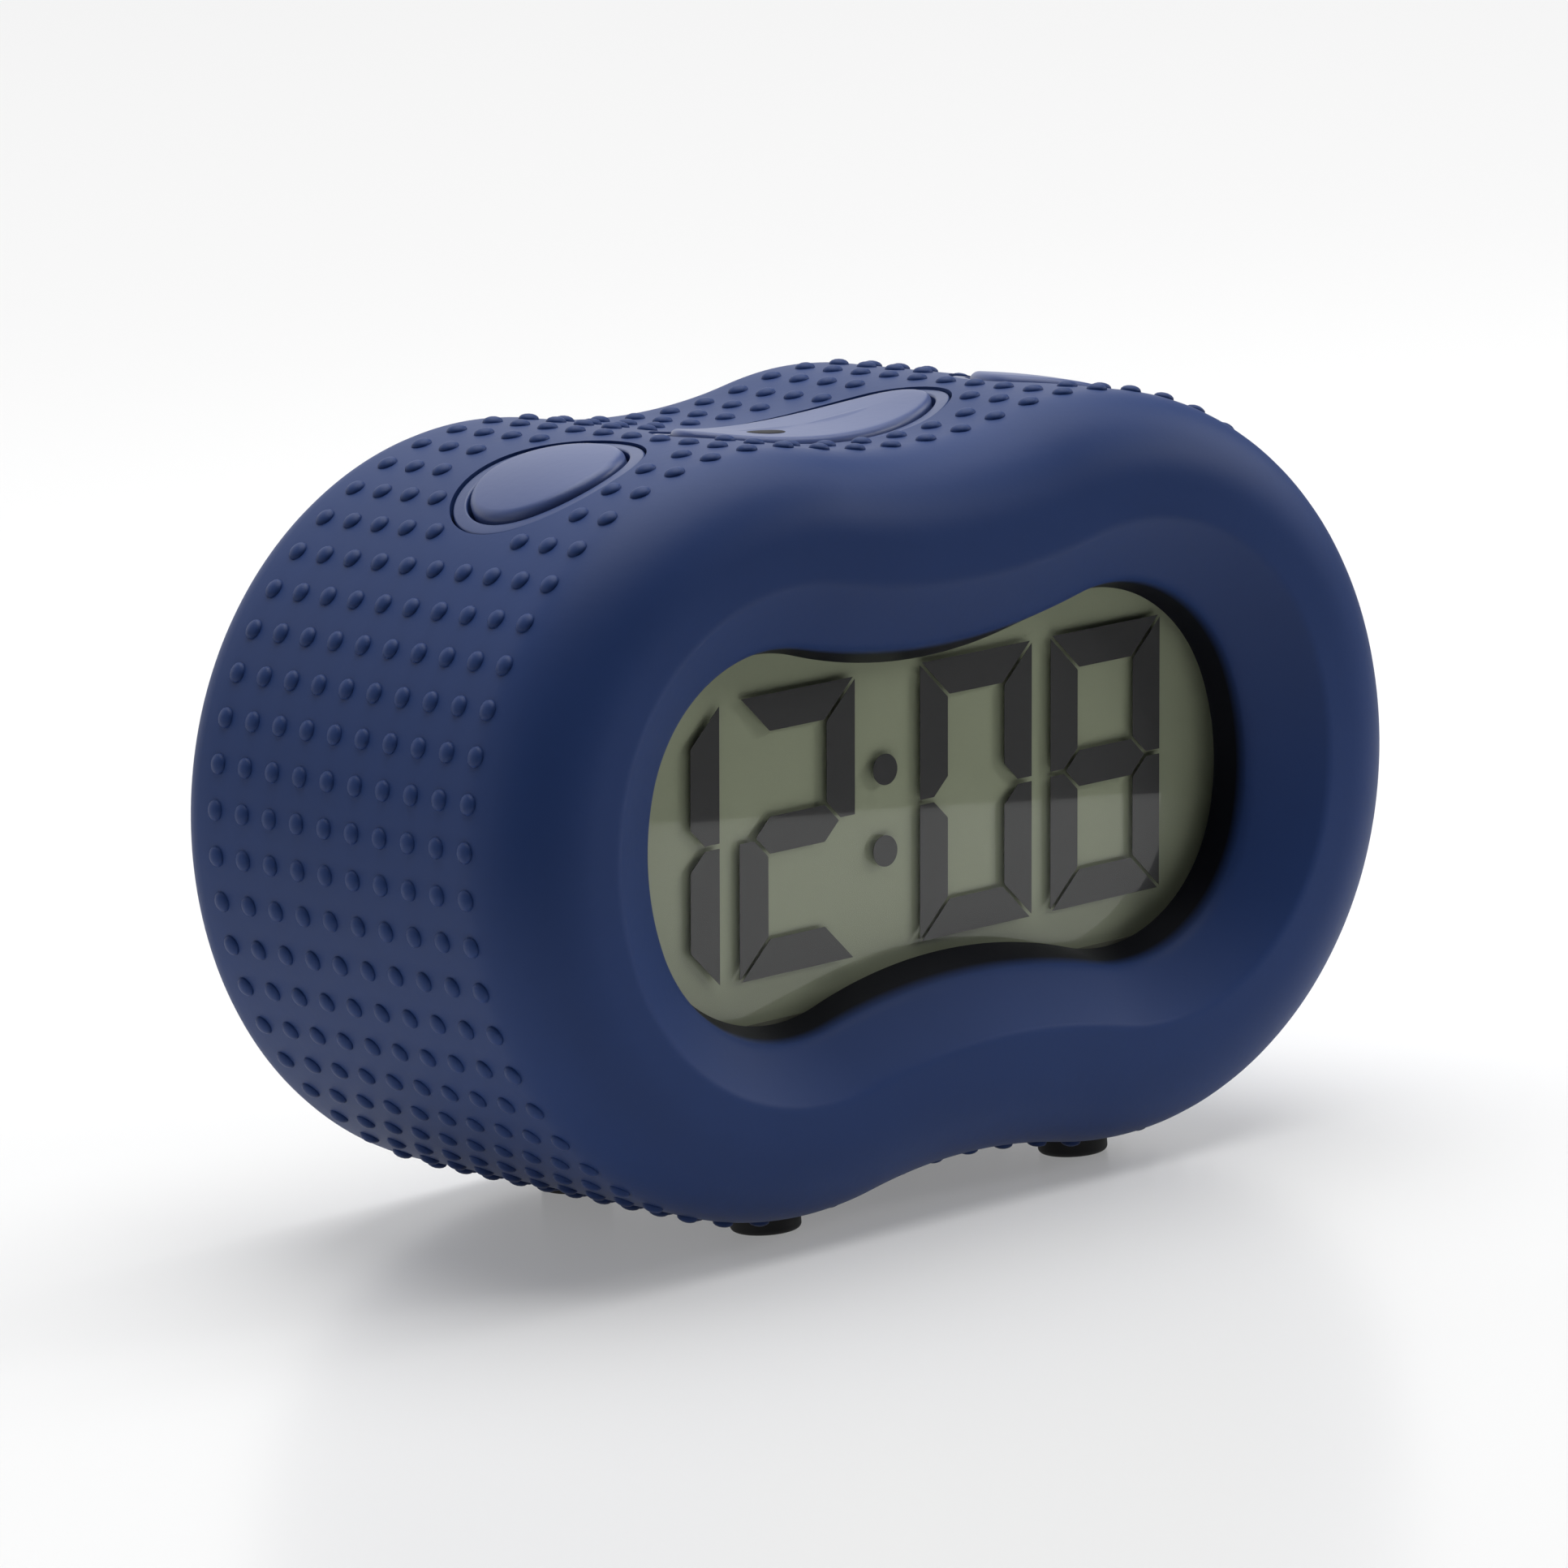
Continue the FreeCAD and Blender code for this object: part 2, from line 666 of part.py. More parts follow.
def make_collar(word, side):
    """The hard ring round a key, which stands a little proud of the sleeve."""
    floor = key_floor(side)
    outside = key_post(f"{word}_collar_outside", side, "worked.collar_outside", floor, ABOVE)
    bore = key_post(f"{word}_collar_bore", side, "dims.key_gap", floor, ABOVE)
    ring = cut(f"{word}_ring", outside, [bore])
    topped = common(f"{word}_ring_topped", [ring, collar_top_form])
    clipped = cut(f"{word}_ring_clipped", topped, [ceiling_form])
    grows = (value("key_gap"), value("collar_outside"))
    return round_rim(f"{word}_ring_round", clipped, side, grows, "collar_round")


def make_key_board(word, side):
    """The small board under a key, hung on two bosses behind it."""
    top = f"{key_floor(side)} - worked.board_drop"
    plate = key_block(f"{word}_board", side,
                      ("-dims.key_board_width / 2", "-dims.key_board_front",
                       f"{top} - dims.board_thick"),
                      ("dims.key_board_width", "dims.key_board_front + dims.key_board_back",
                       "dims.board_thick"))
    holes = [key_rod(f"{word}_board_hole_{number}", side, across, back,
                     f"{top} - dims.board_thick", "dims.screw_radius", "dims.board_thick")
             for number, (across, back) in enumerate(key_boss_places())]
    return cut(f"{word}_board_solid", plate, holes)


def make_switch(word, side):
    """The push switch on a key's board, drawn pressed."""
    top = f"{key_floor(side)} - worked.board_drop"
    body = key_block(f"{word}_switch_body", side,
                     ("-dims.switch_width / 2", "-dims.switch_width / 2", top),
                     ("dims.switch_width", "dims.switch_width", "dims.switch_body"))
    button = key_rod(f"{word}_switch_button", side, "0", "0", f"{top} + dims.switch_body",
                     "dims.plunger_radius", "dims.switch_button")
    return fuse(f"{word}_switch", [body, button])


def key_boss_places():
    """Across and back of the two bosses that carry a key's board."""
    return [(f"{hand} * dims.key_boss_spread", "dims.key_boss_back") for hand in (-1, 1)]


boss_posts = []
pilot_holes = []
small_screws = []
for word, side in SIDES.items():
    board_top = f"{key_floor(side)} - worked.board_drop"
    for number, (across, back) in enumerate(key_boss_places()):
        tag = f"{word}_{number}"
        boss_posts.append(key_rod(f"key_boss_{tag}", side, across, back, board_top,
                                  "dims.boss_radius", ABOVE))
        under = f"{board_top} - dims.board_thick"
        pilot_holes.append(key_rod(f"key_pilot_{tag}", side, across, back, under,
                                   "dims.screw_radius", "dims.screw_length"))
        shank = key_rod(f"key_shank_{tag}", side, across, back, under,
                        "dims.screw_radius", "dims.screw_length")
        head = key_rod(f"key_head_{tag}", side, across, back, f"{under} - dims.screw_head",
                       "dims.screw_head_radius", "dims.screw_head")
        small_screws.append(fuse(f"key_screw_{tag}", [shank, head]))

# Main board on four bosses behind the display
board_back = "(worked.board_depth + dims.board_thick)"
for hand in (-1, 1):
    for rise in (-1, 1):
        tag = f"{'left' if hand < 0 else 'right'}_{'low' if rise < 0 else 'high'}"
        across = f"{hand} * worked.board_screw_x"
        height = f"{rise} * dims.board_screw_z"
        boss_posts.append(rod(f"board_boss_{tag}", across, "worked.housing_level", height,
                              "dims.boss_radius", "worked.board_depth - worked.housing_level"))
        start = f"{board_back} - dims.screw_length"
        pilot_holes.append(rod(f"board_pilot_{tag}", across, start, height,
                               "dims.screw_radius", "dims.screw_length"))
        shank = rod(f"board_shank_{tag}", across, start, height,
                    "dims.screw_radius", "dims.screw_length")
        head = rod(f"board_head_{tag}", across, board_back, height,
                   "dims.screw_head_radius", "dims.screw_head")
        small_screws.append(fuse(f"board_screw_{tag}", [shank, head]))

# Closing screws run from the back of the cover into posts of the housing
cover_posts = []
cover_holes = []
post_room = []
case_screws = []
screw_end = "(worked.rear_plane - dims.case_head - dims.case_screw_length)"
for hand in (-1, 1):
    for rise in (-1, 1):
        tag = f"{'left' if hand < 0 else 'right'}_{'low' if rise < 0 else 'high'}"
        across = f"{hand} * worked.case_screw_x"
        height = f"{rise} * dims.case_screw_z"
        boss_posts.append(rod(f"case_boss_{tag}", across, "worked.housing_level", height,
                              "dims.case_boss_radius",
                              "worked.split_depth - worked.housing_level"))
        post_room.append(rod(f"case_room_{tag}", across, "worked.lip_depth_start", height,
                             "dims.case_boss_radius + dims.fit_gap", "dims.cover_lip"))
        cover_posts.append(rod(f"cover_post_{tag}", across, "worked.split_depth", height,
                               "dims.case_boss_radius", "dims.rear_cover_depth"))
        pilot_holes.append(rod(f"case_pilot_{tag}", across, screw_end, height,
                               "dims.case_screw_radius", "dims.case_screw_length"))
        cover_holes.append(rod(f"case_hole_{tag}", across, screw_end, height,
                               "dims.case_screw_radius + dims.fit_gap",
                               "dims.case_screw_length"))
        cover_holes.append(rod(f"case_sink_{tag}", across,
                               "worked.rear_plane - dims.case_head", height,
                               "dims.case_head_radius + dims.fit_gap", "dims.case_head"))
        shank = rod(f"case_shank_{tag}", across, screw_end, height,
                    "dims.case_screw_radius", "dims.case_screw_length")
        head = rod(f"case_head_{tag}", across, "worked.rear_plane - dims.case_head", height,
                   "dims.case_head_radius", "dims.case_head")
        case_screws.append(fuse(f"case_screw_{tag}", [shank, head]))

# Housing: front shell with its posts and the holes for the keys
HALF_WIDTH = "(dims.side_arc_centre + dims.side_arc_radius)"
case_shell = cut("case_shell", housing_form, [cavity_form])
front_block = box("front_block", f"-{HALF_WIDTH}", "0", f"-{HALF_WIDTH}",
                  f"2 * {HALF_WIDTH}", "worked.split_depth", f"2 * {HALF_WIDTH}")
front_half = common("front_half", [case_shell, front_block])
posts_inside = common("posts_inside", [fuse("posts", boss_posts), housing_form])
shell_with_posts = fuse("shell_with_posts", [front_half, posts_inside])
housing_holes = [key_post(f"{word}_housing_hole", side, "worked.collar_outside",
                          key_floor(side), ABOVE) for word, side in SIDES.items()]
front_housing = cut("front_housing_solid", shell_with_posts, housing_holes + pilot_holes)
node(front_housing, "front_housing")

# Soft sleeve over the housing, open at the window, the keys, the feet and the back
sleeve_holes = [key_post(f"{word}_sleeve_hole", side, "worked.sleeve_hole",
                         key_floor(side), ABOVE) for word, side in SIDES.items()]
foot_holes = []
for hand in (-1, 1):
    for end, depth in (("front", "dims.foot_setback"), ("rear", "worked.rear_foot_depth")):
        place = f"{end}_{'left' if hand < 0 else 'right'}"
        foot = rod(f"foot_{place}_pad", f"{hand} * dims.foot_x", depth, "-worked.centre_height",
                   "dims.foot_radius", "worked.centre_height - worked.foot_top", "z")
        doc.recompute()
        ground = [index for index, edge in enumerate(foot.Shape.Edges, 1)
                  if edge.BoundBox.ZMax < EDGE_TOLERANCE]
        rounded = doc.addObject("Part::Fillet", f"foot_{place}_round")
        rounded.Base = foot
        radius = value("foot_round")
        rounded.Edges = [(index, radius, radius) for index in ground]
        node(rounded, f"foot_{place}")
        foot_holes.append(rod(f"foot_hole_{place}", f"{hand} * dims.foot_x", depth,
                              "-worked.centre_height", "dims.foot_radius",
                              "worked.centre_height - worked.foot_top", "z"))
sleeve = cut("sleeve_solid", outer_form, [housing_form] + sleeve_holes + foot_holes)
node(sleeve, "silicone_sleeve")

# Keys, their collars, boards and switches, and the light sensor in the centre key
sensor_post = rod("sensor_post", "-dims.sensor_offset", "dims.key_depth - dims.sensor_forward",
                  "worked.waist_height - dims.key_gap", "dims.sensor_radius", ABOVE, "z")
node(common("sensor_solid", [sensor_post, key_top_form]), "sensor_window")
for word, side in SIDES.items():
    key = make_key(word, side)
    if side == 0:
        key = cut("centre_key_with_pit", key, [sensor_post])
    node(key, f"key_{word}")
    node(make_collar(word, side), f"key_collar_{word}")
    node(make_key_board(word, side), f"key_board_{word}")
    node(make_switch(word, side), f"key_switch_{word}")

# Display: lens, two glasses with the figures between them, backlight, frame and strips
lens = outline_prism("lens_form", "lens_inset", "dims.lens_depth", "dims.lens_thick")
node(lens, "display_lens")
LCD_WIDTH = "worked.lcd_width"
LCD_HEIGHT = "worked.lcd_height"
REAR_HEIGHT = "(worked.lcd_height - 2 * dims.contact_ledge)"


def panel(name, width, height, depth, thick):
    """A flat panel centred on the clock."""
    return box(name, f"-({width}) / 2", depth, f"-({height}) / 2", width, thick, height)


node(panel("front_glass", LCD_WIDTH, LCD_HEIGHT, "worked.tube_end", "dims.lcd_glass_thick"),
     "lcd_front_glass")
node(panel("rear_glass", LCD_WIDTH, REAR_HEIGHT, "worked.segment_back",
           "dims.lcd_glass_thick"), "lcd_rear_glass")
seal_outside = panel("seal_outside", LCD_WIDTH, REAR_HEIGHT, "worked.segment_front",
                     "dims.segment_thick")
seal_inside = panel("seal_inside", f"{LCD_WIDTH} - 2 * dims.seal_width",
                    f"{REAR_HEIGHT} - 2 * dims.seal_width", "worked.segment_front",
                    "dims.segment_thick")
node(cut("seal_solid", seal_outside, [seal_inside]), "lcd_seal")
node(panel("backlight", LCD_WIDTH, REAR_HEIGHT, "worked.backlight_front",
           "dims.backlight_thick"), "backlight_panel")
STRIP_LOW = "(worked.lcd_height / 2 - dims.zebra_thick - dims.fit_gap)"
for word, low in (("upper", STRIP_LOW), ("lower", f"(-{STRIP_LOW} - dims.zebra_thick)")):
    node(box(f"strip_{word}", f"-{LCD_WIDTH} / 2 + dims.frame_wall", "worked.segment_front",
             low, f"{LCD_WIDTH} - 2 * dims.frame_wall",
             "worked.board_depth - worked.segment_front", "dims.zebra_thick"),
         f"zebra_strip_{word}")
grown = "2 * dims.fit_gap"
frame_block = panel("frame_block", f"{LCD_WIDTH} + 2 * dims.frame_wall",
                    f"{LCD_HEIGHT} + 2 * dims.frame_wall", "worked.tube_end",
                    "worked.board_depth - worked.tube_end")
frame_pocket = panel("frame_pocket", f"{LCD_WIDTH} + {grown}", f"{LCD_HEIGHT} + {grown}",
                     "worked.tube_end", "dims.lcd_glass_thick")
light_pocket = panel("light_pocket", f"{LCD_WIDTH} + {grown}", f"{REAR_HEIGHT} + {grown}",
                     "worked.segment_front",
                     "worked.backlight_front + dims.backlight_thick - worked.segment_front")
back_relief = panel("back_relief", f"{LCD_WIDTH} - 2 * dims.frame_wall",
                    f"{REAR_HEIGHT} - 2 * dims.frame_wall",
                    "worked.backlight_front + dims.backlight_thick + dims.frame_wall",
                    "worked.board_depth")
frame_cuts = [frame_pocket, light_pocket, back_relief]
for word, low in (("upper", f"({STRIP_LOW} - dims.fit_gap)"),
                  ("lower", f"(-{STRIP_LOW} - dims.zebra_thick - dims.fit_gap)")):
    frame_cuts.append(box(f"strip_slot_{word}",
                          f"-{LCD_WIDTH} / 2 + dims.frame_wall - dims.fit_gap",
                          "worked.segment_front", low,
                          f"{LCD_WIDTH} - 2 * dims.frame_wall + {grown}",
                          "worked.board_depth", f"dims.zebra_thick + {grown}"))
node(cut("frame_solid", frame_block, frame_cuts), "lcd_frame")

# Figures of the display, as bars with mitred ends: twelve, a colon and eight
BARS = {"0": "abcdef", "1": "bc", "2": "abged", "8": "abcdefg"}
FIGURES = "1208"
COLON_AFTER = 2


def bar_outlines():
    """Each bar's corners in a cell as wide and tall as a figure, measured from its middle."""
    width = value("digit_width") / 2
    height = value("digit_height") / 2
    stroke = value("stroke")
    gap = value("segment_gap") / 2
    half = stroke / 2
    inner = width - stroke
    return {
        "a": [(-width + gap, height), (width - gap, height),
              (inner - gap, height - stroke), (-inner + gap, height - stroke)],
        "b": [(width, height - gap), (width, gap), (width - half, gap),
              (inner, half + gap), (inner, height - stroke - gap)],
        "g": [(-width + half + gap, 0), (-inner + gap, half), (inner - gap, half),
              (width - half - gap, 0), (inner - gap, -half), (-inner + gap, -half)],
    }


def mirrored(points, across, down):
    """A bar turned over, with its corners kept in order."""
    turned = [(x * across, z * down) for x, z in points]
    return turned if across * down > 0 else turned[::-1]


def figure_bars(figure):
    outlines = bar_outlines()
    flips = {"a": ("a", 1, 1), "d": ("a", 1, -1), "b": ("b", 1, 1), "c": ("b", 1, -1),
             "f": ("b", -1, 1), "e": ("b", -1, -1), "g": ("g", 1, 1)}
    return [mirrored(outlines[flips[bar][0]], *flips[bar][1:]) for bar in BARS[figure]]


def build_figures():
    """All bars and the two dots, sheared to lean right, as one print of solids."""
    lean = math.tan(math.radians(value("digit_slant")))
    front = value("segment_front") - value("overall_depth") / 2
    thick = Vector(0, value("segment_thick"), 0)
    middle = value("centre_height") - value("digits_drop")
    solids = []
    half_row = (len(FIGURES) - 1) / 2 * value("digit_pitch")
    start = value("figures_centre") - half_row - value("colon_room") / 2
    for number, figure in enumerate(FIGURES):
        room = value("colon_room") if number >= COLON_AFTER else 0
        centre = start + number * value("digit_pitch") + room
        for bar in figure_bars(figure):
            corners = [Vector(centre + x + lean * z, front, middle + z) for x, z in bar]
            solids.append(Part.Face(Part.makePolygon(corners + corners[:1])).extrude(thick))
    colon = start + half_row + value("colon_room") / 2
    for rise in (-1, 1):
        z = rise * value("colon_spread")
        place = Vector(colon + lean * z - value("colon_offset"), front, middle + z)
        solids.append(Part.makeCylinder(value("colon_radius"), value("segment_thick"), place,
                                        Vector(0, 1, 0)))
    return Part.makeCompound(solids)


figures = doc.addObject("Part::Feature", "figures")
figures.Shape = build_figures()
node(figures, "lcd_segments")

# Main board with the sealed chip and the crystal behind it
board_plate = panel("board_plate", "worked.board_width", "worked.board_height", "worked.board_depth",
                    "dims.board_thick")
board_ears = panel("board_ears", "worked.ear_span", "dims.ear_height", "worked.board_depth",
                   "dims.board_thick")
board_cuts = [rod(f"ear_hole_{tag}", f"{across} * worked.board_screw_x", "worked.board_depth",
                  f"{rise} * dims.board_screw_z", "dims.screw_radius", "dims.board_thick")
              for tag, across, rise in (("a", -1, -1), ("b", -1, 1), ("c", 1, -1), ("d", 1, 1))]
node(cut("board_solid", fuse("board_outline", [board_plate, board_ears]), board_cuts),
     "main_board")
blob = doc.addObject("Part::Cone", "blob")
blob.Placement = Placement(Vector(), Rotation(Vector(1, 0, 0), -90))
bind(blob, Radius1="dims.chip_radius", Radius2="dims.chip_radius / 2", Height="dims.chip_rise")
node(clock_place(blob, "-dims.chip_offset", board_back, "0"), "chip_blob")
node(rod("crystal_can", "dims.chip_offset", f"{board_back} + dims.crystal_radius", "0",
         "dims.crystal_radius", "dims.crystal_length", "x"), "crystal")

# Battery bay in the rear cover, its door, and the keys and switch above it
BAY_LOW = "(-dims.bay_centre_drop - worked.bay_half_height)"


def bay_block(name, grow, depth, length):
    """A block of the bay's outline, grown all round."""
    return box(name, f"-worked.bay_half_width - ({grow})", depth, f"{BAY_LOW} - ({grow})",
               f"2 * (worked.bay_half_width + {grow})", length,
               f"2 * (worked.bay_half_height + {grow})")


bay_outside = bay_block("bay_outside", "dims.bay_wall", "worked.bay_floor - dims.bay_wall",
                        "worked.rear_inside - worked.bay_floor + dims.bay_wall")
bay_inside = bay_block("bay_inside", "0", "worked.bay_floor",
                       "worked.rear_plane - worked.bay_floor")
door_opening = bay_block("door_opening", "dims.door_ledge", "worked.door_seat",
                         "worked.rear_plane - worked.door_seat")
finger_dip = rod("finger_dip", "0", "worked.rear_plane - dims.dip_depth",
                 f"{BAY_LOW} + 2 * worked.bay_half_height + dims.door_ledge",
                 "dims.dip_radius", "dims.dip_depth")
door_plate = bay_block("door_plate", "dims.door_ledge - dims.door_gap", "worked.door_inside",
                       "dims.door_thick")
DOOR_TOP = f"({BAY_LOW} + 2 * worked.bay_half_height + dims.door_ledge - dims.door_gap)"
latch_slots = [box(f"latch_slot_{hand}", f"{hand} * dims.latch_half_width - dims.door_gap",
                   "worked.door_inside", f"{DOOR_TOP} - dims.latch_length",
                   "2 * dims.door_gap", "dims.door_thick", "dims.latch_length")
               for hand in (-1, 1)]
node(cut("door_solid", door_plate, latch_slots), "battery_door")

SET_PLACES = {"left": 0, "middle": 1, "right": 2}


def set_key_across(place):
    return f"(dims.set_row_start + {place} * dims.set_key_pitch)"


cover_room = [bay_inside, door_opening, finger_dip]
for word, place in SET_PLACES.items():
    across = set_key_across(place)
    cover_room.append(rod(f"set_hole_{word}", across, "worked.rear_inside",
                          "dims.set_row_height", "dims.set_key_radius + dims.set_key_gap",
                          "dims.housing_wall"))
    stem = rod(f"set_stem_{word}", across, "worked.set_plunger_end", "dims.set_row_height",
               "dims.set_key_radius",
               "worked.rear_plane + dims.set_key_rise - worked.set_plunger_end")
    doc.recompute()
    face = [index for index, edge in enumerate(stem.Shape.Edges, 1)
            if edge.BoundBox.YMin > value("rear_plane") - value("overall_depth") / 2]
    rounded = doc.addObject("Part::Fillet", f"set_stem_round_{word}")
    rounded.Base = stem
    radius = value("set_key_round")
    rounded.Edges = [(index, radius, radius) for index in face]
    flange = rod(f"set_flange_{word}", across,
                 "worked.set_flange_back - dims.set_key_flange", "dims.set_row_height",
                 "dims.set_key_radius + dims.set_key_flange", "dims.set_key_flange")
    node(fuse(f"set_key_solid_{word}", [rounded, flange]), f"set_key_{word}")
    switch = box(f"set_switch_body_{word}", f"{across} - dims.switch_width / 2",
                 "worked.rear_board_depth", "dims.set_row_height - dims.switch_width / 2",
                 "dims.switch_width", "dims.switch_body", "dims.switch_width")
    button = rod(f"set_switch_button_{word}", across,
                 "worked.rear_board_depth + dims.switch_body", "dims.set_row_height",
                 "dims.plunger_radius", "dims.switch_button")
    node(fuse(f"set_switch_solid_{word}", [switch, button]), f"set_switch_{word}")

# Alarm slide switch: a knob in a slot, whose leg moves in the switch below
knob_place = "(worked.alarm_slot_x - dims.alarm_travel / 2)"
cover_room.append(box("alarm_slot", "worked.alarm_slot_x - worked.slot_half_length",
                      "worked.rear_inside",
                      "dims.set_row_height - dims.alarm_knob_half_height - dims.set_key_gap",
                      "2 * worked.slot_half_length", "dims.housing_wall",
                      "2 * (dims.alarm_knob_half_height + dims.set_key_gap)"))


def knob_block(name, half_length, half_height, depth, back, across=knob_place):
    """A block round the knob's middle, from one depth to another."""
    return box(name, f"{across} - {half_length}", depth, f"dims.set_row_height - {half_height}",
               f"2 * {half_length}", f"{back} - ({depth})", f"2 * {half_height}")


nib = knob_block("alarm_nib", "dims.alarm_knob_half_length", "dims.alarm_knob_half_height",
                 "worked.set_flange_back", "(worked.rear_plane + dims.set_key_rise)")
slide = knob_block("alarm_slide", "worked.slide_half_length",
                   "(dims.alarm_knob_half_height + dims.set_key_flange)",
                   "(worked.set_flange_back - dims.set_key_flange)", "worked.set_flange_back")
leg = knob_block("alarm_leg", "dims.leg_half", "dims.leg_half", "worked.leg_end",
                 "(worked.set_flange_back - dims.set_key_flange)")
node(fuse("alarm_knob_solid", [nib, slide, leg]), "alarm_knob")
alarm_body = knob_block("alarm_body", "worked.slide_switch_half",
                        "(dims.leg_half + dims.frame_wall)", "worked.rear_board_depth",
                        "(worked.rear_board_depth + dims.switch_body)", "worked.alarm_slot_x")
alarm_channel = knob_block("alarm_channel", "worked.channel_half",
                           "(dims.leg_half + dims.key_clearance)",
                           "(worked.leg_end - dims.key_clearance)",
                           "(worked.rear_board_depth + dims.switch_body)", "worked.alarm_slot_x")
node(cut("alarm_switch_solid", alarm_body, [alarm_channel]), "alarm_switch")

# Rear board on two bosses of the cover, and the sounder behind its holes
rear_bosses = []
rear_pilots = []
for word, across in (("left", "worked.rear_boss_left"), ("right", "worked.rear_boss_right")):
    rear_bosses.append(rod(f"rear_boss_{word}", across, "worked.rear_board_depth",
                           "dims.set_row_height", "dims.boss_radius",
                           "worked.rear_inside - worked.rear_board_depth"))
    start = "(worked.rear_board_depth - dims.board_thick)"
    rear_pilots.append(rod(f"rear_pilot_{word}", across, start, "dims.set_row_height",
                           "dims.screw_radius", "dims.screw_length"))
    shank = rod(f"rear_shank_{word}", across, start, "dims.set_row_height",
                "dims.screw_radius", "dims.screw_length")
    head = rod(f"rear_head_{word}", across, f"{start} - dims.screw_head",
               "dims.set_row_height", "dims.screw_head_radius", "dims.screw_head")
    small_screws.append(fuse(f"rear_screw_{word}", [shank, head]))
rear_plate = box("rear_plate", "worked.rear_boss_left - dims.boss_radius",
                 "worked.rear_board_depth - dims.board_thick",
                 "dims.set_row_height - dims.rear_board_height / 2",
                 "worked.rear_boss_right - worked.rear_boss_left + 2 * dims.boss_radius",
                 "dims.board_thick", "dims.rear_board_height")
node(cut("rear_board_solid", rear_plate, rear_pilots), "rear_board")
SOUND_DEPTH = "(worked.rear_inside - dims.buzzer_thick)"
SOUND_RING = 6
ring_outside = rod("ring_outside", "worked.buzzer_x", SOUND_DEPTH, "-dims.buzzer_drop",
                   "dims.buzzer_radius + dims.fit_gap + dims.buzzer_ring", "dims.buzzer_thick")
ring_bore = rod("ring_bore", "worked.buzzer_x", SOUND_DEPTH, "-dims.buzzer_drop",
                "dims.buzzer_radius + dims.fit_gap", "dims.buzzer_thick")
buzzer_ring = cut("buzzer_ring", ring_outside, [ring_bore])
node(rod("buzzer_can", "worked.buzzer_x", SOUND_DEPTH, "-dims.buzzer_drop",
         "dims.buzzer_radius", "dims.buzzer_thick"), "buzzer")
for number in range(SOUND_RING + 1):
    turn = f"{360 / SOUND_RING * number} deg"
    reach = "dims.sound_hole_pitch" if number else "0"
    cover_room.append(rod(f"sound_hole_{number}", f"worked.buzzer_x + {reach} * cos({turn})",
                          "worked.rear_inside", f"-dims.buzzer_drop + {reach} * sin({turn})",
                          "dims.sound_hole_radius", "dims.housing_wall"))

# Rear cover: shell with a lip inside the housing, the bay, bosses and posts
lip_outside = outline_prism("lip_outside", "lip_level", "worked.lip_depth_start",
                            "dims.cover_lip + dims.cover_lip_wall")
lip_root = outline_prism("lip_root", "cavity_level", "worked.split_depth",
                         "dims.cover_lip_wall")
lip_bore = outline_prism("lip_bore", "lip_bore_level", "worked.lip_depth_start",
                         "dims.cover_lip + dims.cover_lip_wall")
lip_ring = cut("lip_ring", fuse("lip_body", [lip_outside, lip_root]), [lip_bore] + post_room)
rear_half = cut("rear_half", case_shell, [front_block])
cover_posts_inside = common("cover_posts_inside", [fuse("cover_post_set", cover_posts),
                                                   housing_form])
cover_body = fuse("cover_body", [rear_half, lip_ring, bay_outside, buzzer_ring,
                                 cover_posts_inside] + rear_bosses)
node(cut("rear_cover_solid", cover_body, cover_room + cover_holes + rear_pilots), "rear_cover")
node(group("small_screw_set", small_screws), "board_screws")
node(group("case_screw_set", case_screws), "case_screws")

# Batteries lie one above the other, nubs to opposite ends, each nub on a plate and each flat
# end on a domed leaf
PLATE_INSIDE = "(worked.bay_half_width - dims.contact_thick)"
leaves = {}
for word, hand in (("upper", 1), ("lower", -1)):
    height = f"(-dims.bay_centre_drop + {hand} * worked.cell_spread)"
    start = f"({PLATE_INSIDE} - dims.nub_length - dims.cell_length)" if hand > 0 \
        else f"(-{PLATE_INSIDE} + dims.nub_length)"
    nub_start = f"({PLATE_INSIDE} - dims.nub_length)" if hand > 0 else f"-{PLATE_INSIDE}"
    cell = rod(f"cell_{word}", start, "worked.cell_depth", height, "dims.cell_radius",
               "dims.cell_length", "x")
    nub = rod(f"nub_{word}", nub_start, "worked.cell_depth", height, "dims.nub_radius",
              "dims.nub_length", "x")
    node(fuse(f"battery_solid_{word}", [cell, nub]), f"battery_{word}")
    leaf = doc.addObject("Part::Cone", f"leaf_{word}")
    leaf.Placement = Placement(Vector(), Rotation(Vector(0, hand, 0), 90))
    bind(leaf, Radius1="dims.leaf_radius", Radius2="dims.leaf_tip_radius",
         Height="dims.leaf_rise")
    leaves[hand] = clock_place(leaf, f"{-hand} * {PLATE_INSIDE}", "worked.cell_depth", height)
for word, start, leaf in (("left", "-worked.bay_half_width", leaves[1]),
                          ("right", PLATE_INSIDE, leaves[-1])):
    plate = box(f"plate_{word}", start, "worked.cell_depth - dims.leaf_radius",
                "-dims.bay_centre_drop - worked.cell_spread - dims.leaf_radius",
                "dims.contact_thick", "2 * dims.leaf_radius",
                "2 * (worked.cell_spread + dims.leaf_radius)")
    node(fuse(f"contact_solid_{word}", [plate, leaf]), f"battery_contact_{word}")

